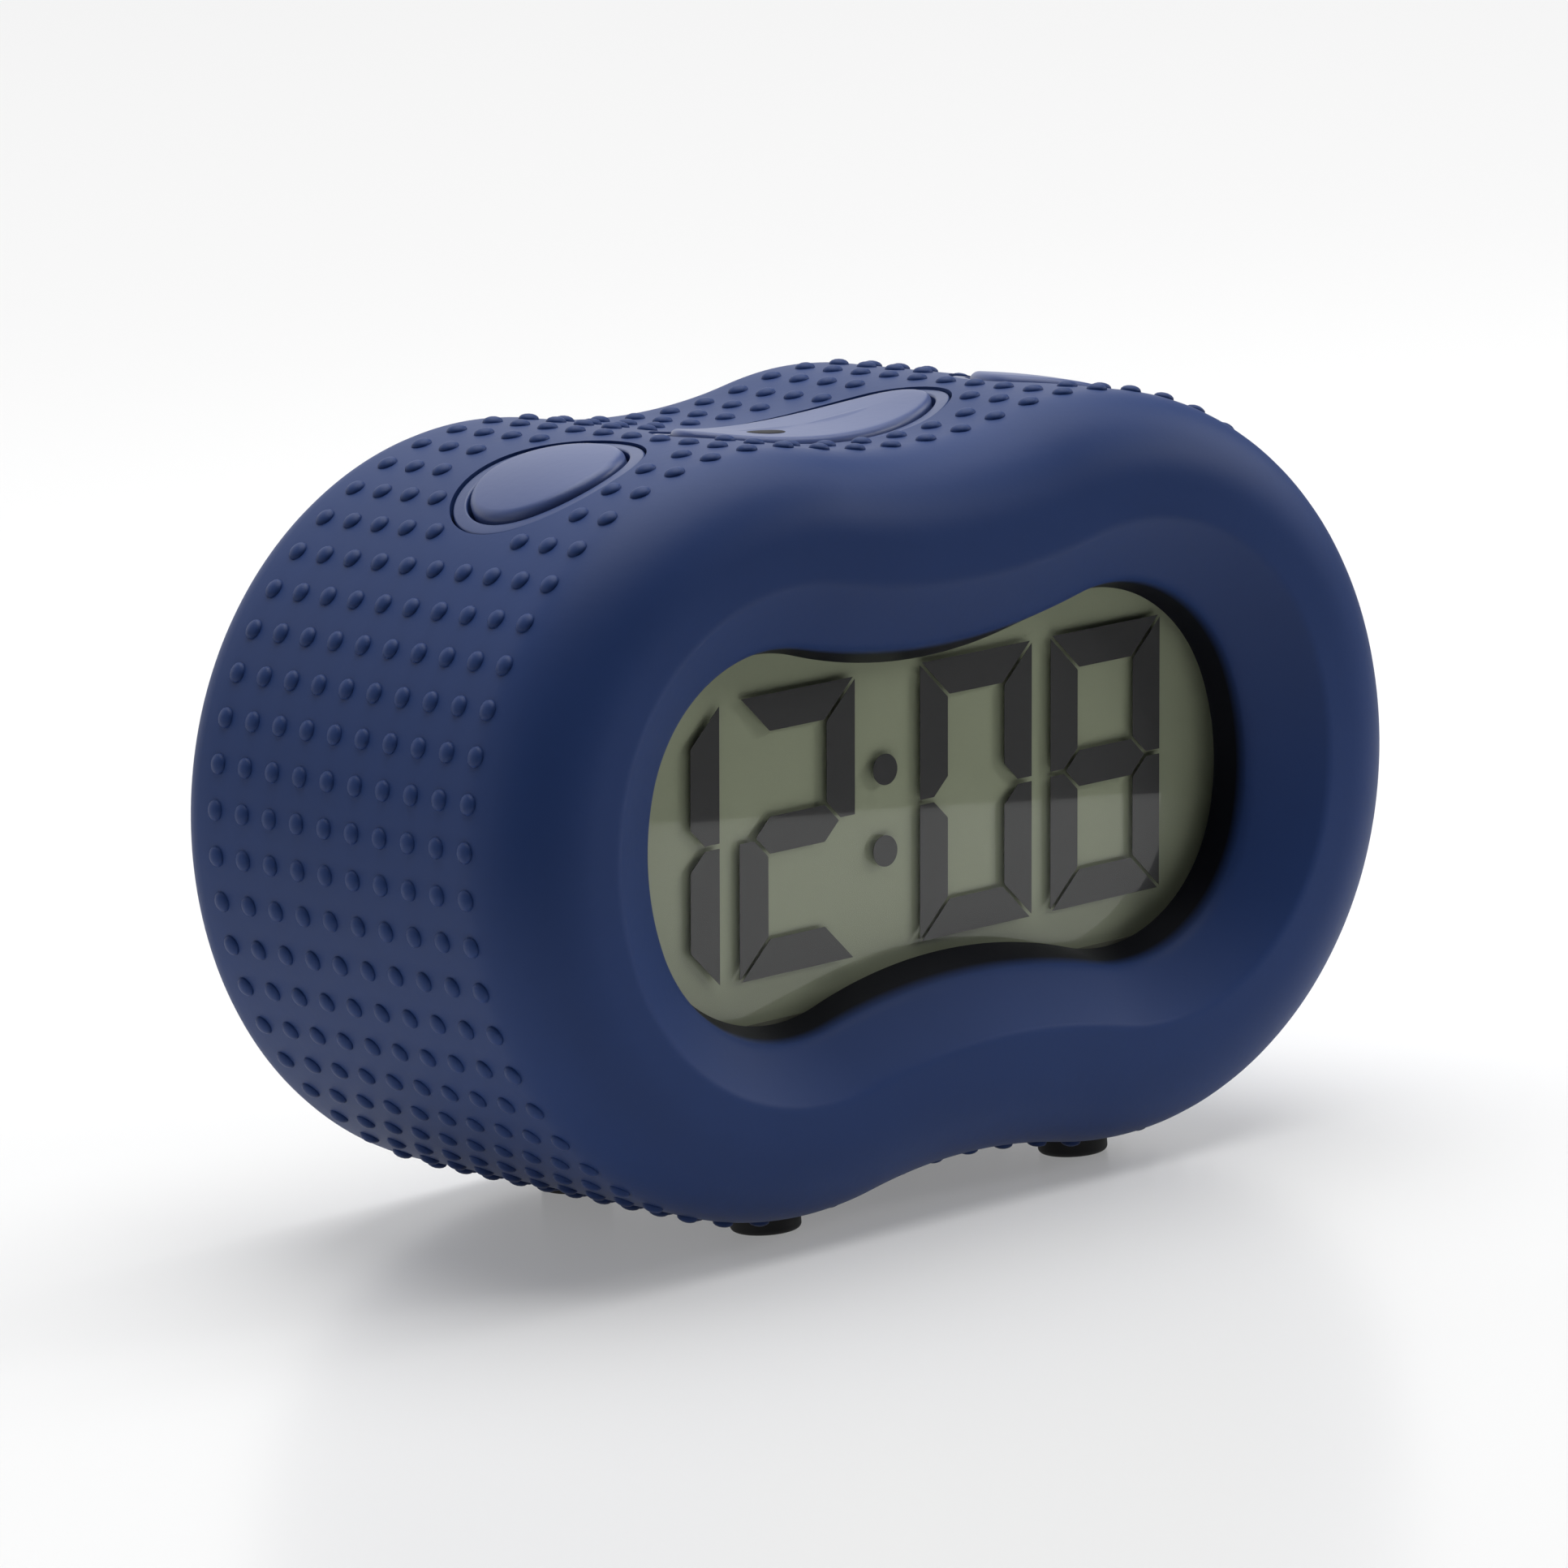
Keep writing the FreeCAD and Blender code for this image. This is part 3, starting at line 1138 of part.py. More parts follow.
# Check every object and write one file for each sub-part
doc.recompute()
for item in doc.Objects:
    if {"Invalid", "Error"} & set(item.State):
        raise ValueError(f"{item.Name} failed: {item.State}")
    shape = getattr(item, "Shape", None)
    if shape is not None and (shape.isNull() or not shape.isValid()):
        raise ValueError(f"{item.Name} has a bad shape")
os.makedirs("parts", exist_ok=True)
for item in nodes:
    item.Shape.exportStep(f"parts/{item.Label}.step")
    print(f"{item.Label}: {len(item.Shape.Solids)} solid(s), {item.Shape.Volume:.0f} mm3")
print(f"{len(nodes)} sub-parts")
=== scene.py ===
# %% [markdown]
# # A standing digital alarm clock in a soft waisted sleeve
#
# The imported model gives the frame: every body, node and joint is loaded in metres. This lesson
# adds what the photograph shows and the solid model leaves plain. The sleeve gets its rows of
# small bumps and its dished bezel, the keys get their crowns, and each surface its material.

# %% Frame
import json
import math

import bmesh
import bpy
import numpy as np
from mathutils import Matrix, Vector


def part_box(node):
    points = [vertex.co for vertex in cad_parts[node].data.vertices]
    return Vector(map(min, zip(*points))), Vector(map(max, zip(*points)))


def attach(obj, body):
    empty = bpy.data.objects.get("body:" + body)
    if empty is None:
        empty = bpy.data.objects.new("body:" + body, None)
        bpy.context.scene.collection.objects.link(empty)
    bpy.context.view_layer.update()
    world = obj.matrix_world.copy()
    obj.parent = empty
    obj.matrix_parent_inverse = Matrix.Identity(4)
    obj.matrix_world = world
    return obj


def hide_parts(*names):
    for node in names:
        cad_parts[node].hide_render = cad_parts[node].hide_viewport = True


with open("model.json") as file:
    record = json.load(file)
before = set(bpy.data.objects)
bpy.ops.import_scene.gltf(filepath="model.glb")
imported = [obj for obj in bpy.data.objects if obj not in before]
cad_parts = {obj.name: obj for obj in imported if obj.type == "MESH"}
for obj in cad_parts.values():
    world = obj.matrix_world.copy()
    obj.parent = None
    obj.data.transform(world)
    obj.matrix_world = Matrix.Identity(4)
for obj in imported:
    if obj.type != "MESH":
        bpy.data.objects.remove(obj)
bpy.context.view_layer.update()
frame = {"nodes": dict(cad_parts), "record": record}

MM = 0.001
nodes = frame["nodes"]
print("nodes:", len(nodes))

# %% [markdown]
# ## Sizes
#
# The outline is made of tangent arcs: a large one at each side, a slightly smaller one over each
# shoulder, and a hollow one at the waist. Each ring of the bezel is an outline of its own, read
# from the photograph, because the window is blunter at its ends than the body is.

# %% Sizes in millimetres
SHOULDER_START = math.radians(17.95)
BODY = {"centre": 18.3, "side": 39.2, "shoulder": 36.7, "waist": 35.3, "drop": 0.0}
CREASE = {"centre": 17.4, "side": 28.3, "shoulder": 23.7, "waist": 22.6, "drop": 0.0}
LIP = {"centre": 13.2, "side": 25.5, "shoulder": 16.5, "waist": 16.7, "drop": 0.5}
PANE = {"centre": 14.2, "side": 23.3, "shoulder": 15.7, "waist": 14.6, "drop": 0.3}

sleeve_low, sleeve_high = (np.array(corner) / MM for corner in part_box("silicone_sleeve"))
FRONT = sleeve_low[1]
REAR = sleeve_high[1]
MIDDLE_HEIGHT = (sleeve_low[2] + sleeve_high[2]) / 2
PANE_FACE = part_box("display_lens")[0][1] / MM
LIP_DEPTH = 4.4
LIP_FACE = FRONT + LIP_DEPTH
COVER_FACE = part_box("rear_cover")[1][1] / MM
FRONT_ROUND = 8.6
REAR_ROUND = 3.9
WALL = 2.0
REAR_OPENING = 6.0
ARC_STEPS = {"side": 12, "shoulder": 56, "waist": 12}
print(f"sleeve from {FRONT:.1f} to {REAR:.1f} mm deep, centre {MIDDLE_HEIGHT:.1f} mm up")

# %% [markdown]
# ## Outlines
#
# A curve drawn by hand could come near this outline, but a moulded case is drawn from arcs that
# meet without a corner. So one quarter of an outline is worked out from its arcs and mirrored
# twice. Rings with the same number of points can then be blended, and a row of blended rings is
# a surface.

# %% Outline rings
def arc(centre, radius, start, end, steps):
    """Points on an arc between two angles, with both ends."""
    angles = np.linspace(start, end, steps + 1)
    return np.stack([centre[0] + radius * np.cos(angles), centre[1] + radius * np.sin(angles)], 1)


def quarter_outline(form, inset=0.0):
    """Points from the right-hand end to the top of the waist."""
    spread = form["side"] - form["shoulder"]
    shoulder = np.array([form["centre"] + spread * math.cos(SHOULDER_START),
                         spread * math.sin(SHOULDER_START)])
    rise = form["waist"] - shoulder[1]
    waist = ((shoulder[0] ** 2 + rise ** 2 - form["shoulder"] ** 2)
             / (2 * (form["shoulder"] - rise)))
    lean = math.atan2(shoulder[0], form["waist"] + waist - shoulder[1])
    side = arc((form["centre"], 0), form["side"] - inset, 0, SHOULDER_START, ARC_STEPS["side"])
    over = arc(shoulder, form["shoulder"] - inset, SHOULDER_START, math.pi / 2 + lean,
               ARC_STEPS["shoulder"])
    hollow = arc((0, form["waist"] + waist), waist + inset, lean - math.pi / 2, -math.pi / 2,
                 ARC_STEPS["waist"])
    return np.concatenate([side[:-1], over[:-1], hollow])


def ring(form, depth, inset=0.0):
    """The whole outline at a depth, as points in the row frame, in millimetres."""
    quarter = quarter_outline(form, inset)
    upper = np.concatenate([quarter[:-1], (quarter * (-1, 1))[::-1]])
    whole = np.concatenate([upper[:-1], -upper[:-1]])
    heights = MIDDLE_HEIGHT - form["drop"] + whole[:, 1]
    return np.stack([whole[:, 0], np.full(len(whole), depth), heights], 1)


def line(first, last, steps):
    """Rings between two rings, without the first."""
    return [first + (last - first) * step / steps for step in range(1, steps + 1)]


def bend(first, corner, last, steps):
    """Rings on a soft corner between two rings, without the first."""
    rings = []
    for step in range(1, steps + 1):
        part = step / steps
        rings.append((1 - part) ** 2 * first + 2 * part * (1 - part) * corner
                     + part ** 2 * last)
    return rings


def round_over(depth, sign, radius, inset, steps):
    """Rings of a quarter round between the wall and a flat end, from the wall."""
    rings = []
    for step in range(steps + 1):
        turn = math.pi / 2 * step / steps
        rings.append(ring(BODY, depth + sign * radius * (math.sin(turn) - 1),
                          inset + radius * (1 - math.cos(turn))))
    return rings


SMOOTH_ANGLE = math.radians(40)


def mesh_object(name, points, faces):
    """A mesh object in metres from points in millimetres, smooth but for its sharp edges."""
    mesh = bpy.data.meshes.new(name)
    mesh.from_pydata((np.array(points) * MM).tolist(), [], faces)
    mesh.polygons.foreach_set("use_smooth", [True] * len(mesh.polygons))
    mesh.update()
    mesh.set_sharp_from_angle(angle=SMOOTH_ANGLE)
    obj = bpy.data.objects.new(name, mesh)
    bpy.context.scene.collection.objects.link(obj)
    return obj


def band_faces(rows, columns, closed_rows=False):
    """Quads between rows of points, each row closed on itself."""
    faces = []
    for row in range(rows if closed_rows else rows - 1):
        after = (row + 1) % rows
        for column in range(columns):
            beside = (column + 1) % columns
            faces.append((row * columns + column, row * columns + beside,
                          after * columns + beside, after * columns + column))
    return faces


print("points in an outline:", len(ring(BODY, FRONT)))

# %% [markdown]
# ## Sleeve
#
# The real sleeve is one moulding of soft silicone, pulled over the hard case. It could be a box
# with a subdivision surface, but then its arcs would only be near the true ones.
#
# Here a section is drawn as rings. It runs from the rear opening over the back edge, along the
# wall, round the front and down the dish to the window, then back along the inside. It is one
# closed band, so the holes for the keys and the feet can be cut through it.

# %% Sleeve surface
BAND_SHARE = 0.8
CREASE_SHARE = 0.07
LIP_SHARE = 0.12
EDGE_SHARE = 0.16
REAR_LIP_ROUND = 0.5
INNER_WINDOW = 16.4
INNER_CREASE = 11.7
LIP_THICKNESS = 1.0


def outer_rings():
    """From the rear opening round the outside, down the dish and to the window."""
    rear_flat = ring(BODY, REAR, REAR_OPENING - REAR_LIP_ROUND)
    rings = [ring(BODY, COVER_FACE, REAR_OPENING)]
    rings += line(rings[-1], ring(BODY, REAR - REAR_LIP_ROUND, REAR_OPENING), steps=1)
    rings += bend(rings[-1], ring(BODY, REAR, REAR_OPENING), rear_flat, steps=3)
    rings += round_over(REAR, 1, REAR_ROUND, 0, steps=8)[::-1]
    front = round_over(FRONT, -1, FRONT_ROUND, 0, steps=16)
    rings += line(rings[-1], front[0], steps=24)
    rings += front[1:]
    crease = ring(CREASE, FRONT)
    lip = ring(LIP, LIP_FACE)
    pane = ring(PANE, PANE_FACE)
    rings += line(rings[-1], rings[-1] + (crease - rings[-1]) * BAND_SHARE, steps=3)
    rings += bend(rings[-1], crease, crease + (lip - crease) * CREASE_SHARE, steps=6)
    rings += line(rings[-1], lip + (crease - lip) * LIP_SHARE, steps=5)
    rings += bend(rings[-1], lip, lip + (pane - lip) * EDGE_SHARE, steps=5)
    return rings + line(rings[-1], pane, steps=3)


def inner_rings():
    """From the window back along the inside of the wall."""
    rings = [ring(BODY, PANE_FACE, INNER_WINDOW),
             ring(BODY, LIP_FACE + LIP_THICKNESS, INNER_WINDOW),
             ring(BODY, FRONT + WALL, INNER_CREASE)]
    rings += round_over(FRONT + WALL, -1, FRONT_ROUND - WALL, WALL, steps=4)[::-1]
    return rings + round_over(REAR - WALL, 1, REAR_ROUND - WALL, WALL, steps=3)


rings = outer_rings() + inner_rings()
sleeve = mesh_object("sleeve", np.concatenate(rings),
                     band_faces(len(rings), len(rings[0]), closed_rows=True))
print(f"sleeve: {len(rings)} rings of {len(rings[0])} points")

# %% [markdown]
# ## Key frames
#
# The three keys on top follow the sleeve's curve. They could be flat plates bent onto it later,
# but a bend changes their size. Instead, each key has a frame of its own: across, back, and up
# along its axis. The side keys lie wholly on a shoulder, so their surface is a cylinder. The
# centre key lies over the waist.

# %% Key frames
KEY_DEPTH = (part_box("key_centre")[0][1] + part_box("key_centre")[1][1]) / 2 / MM
KEY_RADIUS = 7.8
CENTRE_KEY_HALF = 15.5
SIDE_KEY_ACROSS = 32.3
COLLAR_GAP = 0.4
COLLAR_WIDTH = 1.5
HOLE_GAP = 0.25
SHOULDER = np.array([BODY["centre"] + (BODY["side"] - BODY["shoulder"]) * math.cos(SHOULDER_START),
                     (BODY["side"] - BODY["shoulder"]) * math.sin(SHOULDER_START)])
KEY_TILT = math.asin((SIDE_KEY_ACROSS - SHOULDER[0]) / BODY["shoulder"])
SIDES = {"left": -1, "centre": 0, "right": 1}
body_top = quarter_outline(BODY)[::-1]


def outline_height(across):
    """Height of the body's top over its middle, at a distance across."""
    return np.interp(np.abs(across), body_top[:, 0], body_top[:, 1])


def key_frame(side):
    """Matrix from a key's own frame to the row frame, in millimetres."""
    place = Vector((side * SHOULDER[0], KEY_DEPTH,
                    MIDDLE_HEIGHT + abs(side) * SHOULDER[1]))
    return Matrix.Translation(place) @ Matrix.Rotation(side * KEY_TILT, 4, "Y")


def key_surface(side, across):
    """Height of the sleeve along a key's axis, at a distance across the key."""
    if side:
        return np.sqrt(BODY["shoulder"] ** 2 - across ** 2)
    return outline_height(across)


def key_half_sizes(side):
    """Half of a key's outline, across and back."""
    return (KEY_RADIUS if side else CENTRE_KEY_HALF), KEY_RADIUS


KEY_STEPS = {-1: 96, 0: 160, 1: 96}


def key_ring(side, grow, rise, absolute=False):
    """A closed ring that follows a key's outline, in the row frame."""
    half_across, half_back = key_half_sizes(side)
    turns = np.linspace(0, 2 * math.pi, KEY_STEPS[side], endpoint=False)
    across = (half_across + grow) * np.cos(turns)
    back = (half_back + grow) * np.sin(turns)
    up = np.full(len(turns), rise) if absolute else key_surface(side, across) + rise
    matrix = np.array(key_frame(side))
    return np.stack([across, back, up], 1) @ matrix[:3, :3].T + matrix[:3, 3]


def key_shape(name, side, profile, cap=False):
    """A shape of rings round a key's outline, from (grow, rise) pairs."""
    rows = [key_ring(side, grow, rise) for grow, rise in profile]
    points = np.concatenate(rows)
    steps = KEY_STEPS[side]
    faces = band_faces(len(rows), steps, closed_rows=not cap)
    if cap:
        last = (len(rows) - 1) * steps
        matrix = np.array(key_frame(side))
        middle = np.array([0, 0, key_surface(side, np.array([0.0]))[0] + profile[-1][1]])
        points = np.concatenate([points, [middle @ matrix[:3, :3].T + matrix[:3, 3]]])
        faces += [(last + step, last + (step + 1) % steps, len(points) - 1)
                  for step in range(steps)]
    return mesh_object(name, points, faces)


print(f"side keys tilt {math.degrees(KEY_TILT):.1f} degrees, {KEY_DEPTH:.1f} mm back")

# %% [markdown]
# ## Holes in the sleeve
#
# On the real clock, the keys and the feet reach the case through holes in the sleeve. The holes
# could be left out of the rings, but each has an outline of its own that no row of rings meets.
# So closed posts are cut out of the closed sleeve in one exact Boolean, which is then applied.

# %% Holes for the keys and the feet
def cutter(name, low, high):
    """A closed post between two rings."""
    steps = len(low)
    faces = band_faces(2, steps) + [tuple(range(steps))[::-1], tuple(range(steps, 2 * steps))]
    return mesh_object(name, np.concatenate([low, high]), faces)


HOLE_GROW = COLLAR_GAP + COLLAR_WIDTH + HOLE_GAP
HOLE_SPAN = (28.0, 46.0)
FOOT_GAP = 0.1
FOOT_SPAN = (-1.0, 6.0)
FOOT_STEPS = 48
FOOT_NAMES = ["foot_front_left", "foot_front_right", "foot_rear_left", "foot_rear_right"]


def foot_ring(node, height):
    """A circle just outside a foot, at a height."""
    low, high = (np.array(corner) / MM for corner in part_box(node))
    turns = np.linspace(0, 2 * math.pi, FOOT_STEPS, endpoint=False)
    radius = (high[0] - low[0]) / 2 + FOOT_GAP
    middle = (low + high) / 2
    return np.stack([middle[0] + radius * np.cos(turns), middle[1] + radius * np.sin(turns),
                     np.full(FOOT_STEPS, height)], 1)


def cut_holes(target):
    """Cut the keys' and feet's posts out of a closed shape, and take the posts away."""
    cutters = [cutter(f"cut_{word}", *(key_ring(side, HOLE_GROW, height, absolute=True)
                                       for height in HOLE_SPAN))
               for word, side in SIDES.items()]
    cutters += [cutter(f"cut_{node}", *(foot_ring(node, height) for height in FOOT_SPAN))
                for node in FOOT_NAMES]
    group = bpy.data.collections.new("cutters")
    bpy.context.scene.collection.children.link(group)
    for item in cutters:
        group.objects.link(item)
        bpy.context.scene.collection.objects.unlink(item)
    modifier = target.modifiers.new("holes", "BOOLEAN")
    modifier.operand_type = "COLLECTION"
    modifier.collection = group
    modifier.operation = "DIFFERENCE"
    modifier.solver = "EXACT"
    bpy.context.view_layer.update()
    graph = bpy.context.evaluated_depsgraph_get()
    cut_mesh = bpy.data.meshes.new_from_object(target.evaluated_get(graph))
    target.modifiers.clear()
    target.data = cut_mesh
    cut_mesh.set_sharp_from_angle(angle=SMOOTH_ANGLE)
    for item in cutters:
        bpy.data.objects.remove(item)
    bpy.data.collections.remove(group)


cut_holes(sleeve)
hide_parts("silicone_sleeve")
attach(sleeve, "clock")
print(f"sleeve after its holes: {len(sleeve.data.polygons)} faces")

# %% [markdown]
# ## Keys
#
# A collar is a flat ring a little below the sleeve's surface, with softened edges. A cap stands
# proud of both, nearly flat on top with a well rounded edge, and goes down through the collar
# with a thin gap all round. A Bevel could round the solids' edges, but the photograph shows a
# softer crown than that. Both are made of rings that follow the key's outline, so one section
# in (grow, rise) pairs gives a whole shape.

# %% Collars and caps
COLLAR_RISE = -0.2
COLLAR_ROUND = 0.25
COLLAR_DEPTH = 3.9
CAP_EDGE_RISE = 0.5
CAP_CROWN = 0.2
CAP_ROUND = 0.85
CAP_SKIRT = 3.5
CROWN_STEPS = 12
CROWN_END = 0.15


def quarter_round(edge, rise, radius, hand, steps=6):
    """(grow, rise) pairs of a rounded edge, from its side up to its top."""
    rows = []
    for step in range(steps + 1):
        turn = math.pi / 2 * step / steps
        rows.append((edge + hand * radius * (1 - math.cos(turn)),
                     rise - radius * (1 - math.sin(turn))))
    return rows


def collar_profile():
    """Section of a collar: up its inside, across its top and down its outside."""
    inside = COLLAR_GAP
    outside = COLLAR_GAP + COLLAR_WIDTH
    rows = [(inside, -COLLAR_DEPTH)]
    rows += quarter_round(inside, COLLAR_RISE, COLLAR_ROUND, 1)
    rows += quarter_round(outside, COLLAR_RISE, COLLAR_ROUND, -1)[::-1]
    return rows + [(outside, -COLLAR_DEPTH)]


def cap_profile(side):
    """Section of a cap: up its side, round its edge and in over its crown."""
    half_back = key_half_sizes(side)[1]
    rows = [(0.0, -CAP_SKIRT)] + quarter_round(0.0, CAP_EDGE_RISE, CAP_ROUND, -1)
    for step in range(1, CROWN_STEPS):
        part = step / CROWN_STEPS
        grow = -CAP_ROUND - (half_back - CAP_ROUND - CROWN_END) * part
        rows.append((grow, CAP_EDGE_RISE + CAP_CROWN * (1 - (1 - part) ** 2)))
    return rows


keys = {}
collars = {}
for word, side in SIDES.items():
    collar = key_shape(f"collar_{word}", side, collar_profile())
    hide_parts(f"key_collar_{word}")
    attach(collar, "clock")
    collars[word] = collar
    cap = key_shape(f"cap_{word}", side, cap_profile(side), cap=True)
    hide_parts(f"key_{word}")
    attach(cap, f"key_{word}")
    keys[word] = cap
print("caps:", ", ".join(f"{word} {len(cap.data.polygons)} faces" for word, cap in keys.items()))

# %% [markdown]
# ## Light sensor
#
# The small dark mark in the centre key is taken as the window of a light sensor. It could be
# painted on the cap, but the solid model has it as a part of its own. So it is a low oval dome
# that follows the crown of the cap and stands just proud of it.

# %% Light sensor in the centre key
SENSOR_ACROSS = -6.5
SENSOR_BACK = -2.2
SENSOR_RADIUS = 2.2
SENSOR_BACK_RADIUS = 1.5
SENSOR_STEPS = 40
SENSOR_PROFILE = ((SENSOR_RADIUS, -0.3), (SENSOR_RADIUS, 0.03), (SENSOR_RADIUS - 0.15, 0.08),
                  (SENSOR_RADIUS * 0.5, 0.1), (0.05, 0.11))


def crown_rise(across, back):
    """Height of the centre cap's crown over the sleeve's surface."""
    half_across, half_back = key_half_sizes(0)
    reach = half_back - CAP_ROUND - CROWN_END
    share = math.hypot(across / half_across, back / half_back)
    part = min(max((half_back * (1 - share) - CAP_ROUND) / reach, 0), 1)
    return CAP_EDGE_RISE + CAP_CROWN * (1 - (1 - part) ** 2)


def sensor_shape():
    """Oval rings from the (radius, rise) pairs of the profile, closed by a face at the top."""
    matrix = np.array(key_frame(0))
    points = []
    for radius, rise in SENSOR_PROFILE:
        for step in range(SENSOR_STEPS):
            turn = 2 * math.pi * step / SENSOR_STEPS
            across = SENSOR_ACROSS + radius * math.cos(turn)
            back = SENSOR_BACK + radius * math.sin(turn) * SENSOR_BACK_RADIUS / SENSOR_RADIUS
            up = float(outline_height(across)) + crown_rise(across, back) + rise
            points.append(matrix[:3, :3] @ (across, back, up) + matrix[:3, 3])
    top = tuple(range(len(points) - SENSOR_STEPS, len(points)))
    return mesh_object("sensor", points, band_faces(len(SENSOR_PROFILE), SENSOR_STEPS) + [top])


sensor = sensor_shape()
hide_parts("sensor_window")
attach(sensor, "key_centre")
print("sensor:", len(sensor.data.polygons), "faces")

# %% [markdown]
# ## Display
#
# The figures are printed between two glasses, a little in front of a grey-green reflector, so
# they drop a soft shadow on it. In the solid model those plates touch, and two faces in one
# place would flicker. Each plate is copied and made slightly thinner about its own middle.
#
# The panel of the real clock seems to lie some 6 mm deeper than the solid one. Seen from the
# left, that puts the figures 5 mm further left in the window, and so the copy is set there.
# Clear sheets throw no shadow, so shadow, bounce and mirrored rays pass them by.

# %% Display plates
MERGE_REACH = 0.001 * MM


def thinner_copy(node, name, share, along=0.0):
    """A merged copy of a node, its depth shrunk about its middle, moved along X by so much."""
    shape = bmesh.new()
    shape.from_mesh(nodes[node].data)
    bmesh.ops.remove_doubles(shape, verts=shape.verts, dist=MERGE_REACH)
    low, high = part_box(node)
    middle = (low[1] + high[1]) / 2
    for corner in shape.verts:
        corner.co.x += along
        corner.co.y = middle + (corner.co.y - middle) * share
    mesh = bpy.data.meshes.new(name)
    shape.to_mesh(mesh)
    shape.free()
    obj = bpy.data.objects.new(name, mesh)
    bpy.context.scene.collection.objects.link(obj)
    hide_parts(node)
    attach(obj, "clock")
    return obj


def let_light_by(obj):
    """Keep shadow, bounce and mirrored rays from meeting a clear sheet."""
    obj.visible_shadow = False
    obj.visible_diffuse = False
    obj.visible_glossy = False


GLASS_SHARE = 0.9
PRINT_SHARE = 0.5
FIGURES_ALONG = -5.0 * MM
figures = thinner_copy("lcd_segments", "figures", PRINT_SHARE, FIGURES_ALONG)
glasses = [thinner_copy(f"lcd_{place}_glass", f"{place}_glass", GLASS_SHARE)
           for place in ("front", "rear")]
for sheet in glasses + [nodes["display_lens"]]:
    let_light_by(sheet)
print("figures:", len(figures.data.polygons), "faces")

# %% [markdown]
# ## Materials
#
# The rubber and the moulded plastics are matt, with a fine grain and broad faint changes of tone
# and gloss. An image could carry those, but nodes on Object coordinates need no file, stay with
# the piece when it moves, and have no seams. One helper makes each moulded finish, so its colour
# and roughness are all that differ.

# %% Shader helpers
def srgb(red, green, blue):
    """A linear colour from 8-bit screen values."""
    def linear(value):
        value = value / 255
        return value / 12.92 if value <= 0.04045 else ((value + 0.055) / 1.055) ** 2.4
    return (linear(red), linear(green), linear(blue), 1.0)


def principled(name, color, roughness, **extra):
    """A material and its shader, with further sockets set by name."""
    material = bpy.data.materials.new(name)
    material.use_nodes = True
    shader = material.node_tree.nodes["Principled BSDF"]
    shader.inputs["Base Color"].default_value = color
    shader.inputs["Roughness"].default_value = roughness
    for socket, number in extra.items():
        shader.inputs[socket.replace("_", " ")].default_value = number
    return material, shader


def add(tree, kind, values=(), **settings):
    """A new shader node: settings are its properties, and values go on its sockets."""
    node = tree.nodes.new(f"ShaderNode{kind}")
    for label, setting in settings.items():
        setattr(node, label, setting)
    for socket, value in dict(values).items():
        node.inputs[socket].default_value = value
    return node


# %% Moulded finish
GRAIN_DETAIL = 4.0
GRAIN_STRENGTH = 0.5
BROAD_SCALE = 45.0
GLOSS_SPREAD = 0.04


def grained(name, color, roughness, scale=900.0, depth=0.00003, vary=0.12, **extra):
    """A moulded surface with fine grain, and broad faint changes of tone and gloss."""
    material, shader = principled(name, color, roughness, **extra)
    tree = material.node_tree
    place = add(tree, "TexCoord")
    fine = add(tree, "TexNoise", {"Scale": scale, "Detail": GRAIN_DETAIL})
    broad = add(tree, "TexNoise", {"Scale": BROAD_SCALE})
    bump = add(tree, "Bump", {"Strength": GRAIN_STRENGTH, "Distance": depth})
    darker, lighter = (tuple(part * share for part in color[:3]) + (1.0,)
                       for share in (1 - vary, 1 + vary))
    tone = add(tree, "Mix", {"A": darker, "B": lighter}, data_type="RGBA")
    gloss = add(tree, "MapRange", {"To Min": roughness - GLOSS_SPREAD,
                                   "To Max": roughness + GLOSS_SPREAD})
    link = tree.links.new
    for noise in (fine, broad):
        link(place.outputs["Object"], noise.inputs["Vector"])
    link(fine.outputs["Fac"], bump.inputs["Height"])
    link(bump.outputs["Normal"], shader.inputs["Normal"])
    link(broad.outputs["Fac"], tone.inputs["Factor"])
    link(broad.outputs["Fac"], gloss.inputs["Value"])
    link(tone.outputs["Result"], shader.inputs["Base Color"])
    link(gloss.outputs["Result"], shader.inputs["Roughness"])
    return material


# %% [markdown]
# ## Clear sheets
#
# The window and the display's two glasses are clear. A glass shader would bend and darken what
# lies behind three sheets, and its shadow would hide the reflector. So a sheet is nearly open,
# and its small alpha leaves a weak mirror. The gloss seen in the window is a coat on what lies
# behind it. Smears of the hand are faint changes of roughness.

# %% Clear finish
SHEET_TONE = srgb(225, 230, 228)
SMEAR_SCALE = 60.0
SMEAR_SHARES = (0.7, 1.3)


def clear(name, alpha, roughness):
    """A clear sheet: open but for a mirror gloss as weak as its alpha."""
    material, shader = principled(name, SHEET_TONE, roughness, Metallic=1.0, Alpha=alpha)
    tree = material.node_tree
    place = add(tree, "TexCoord")
    noise = add(tree, "TexNoise", {"Scale": SMEAR_SCALE})
    spread = add(tree, "MapRange", {"To Min": roughness * SMEAR_SHARES[0],
                                    "To Max": roughness * SMEAR_SHARES[1]})
    tree.links.new(place.outputs["Object"], noise.inputs["Vector"])
    tree.links.new(noise.outputs["Fac"], spread.inputs["Value"])
    tree.links.new(spread.outputs["Result"], shader.inputs["Roughness"])
    return material


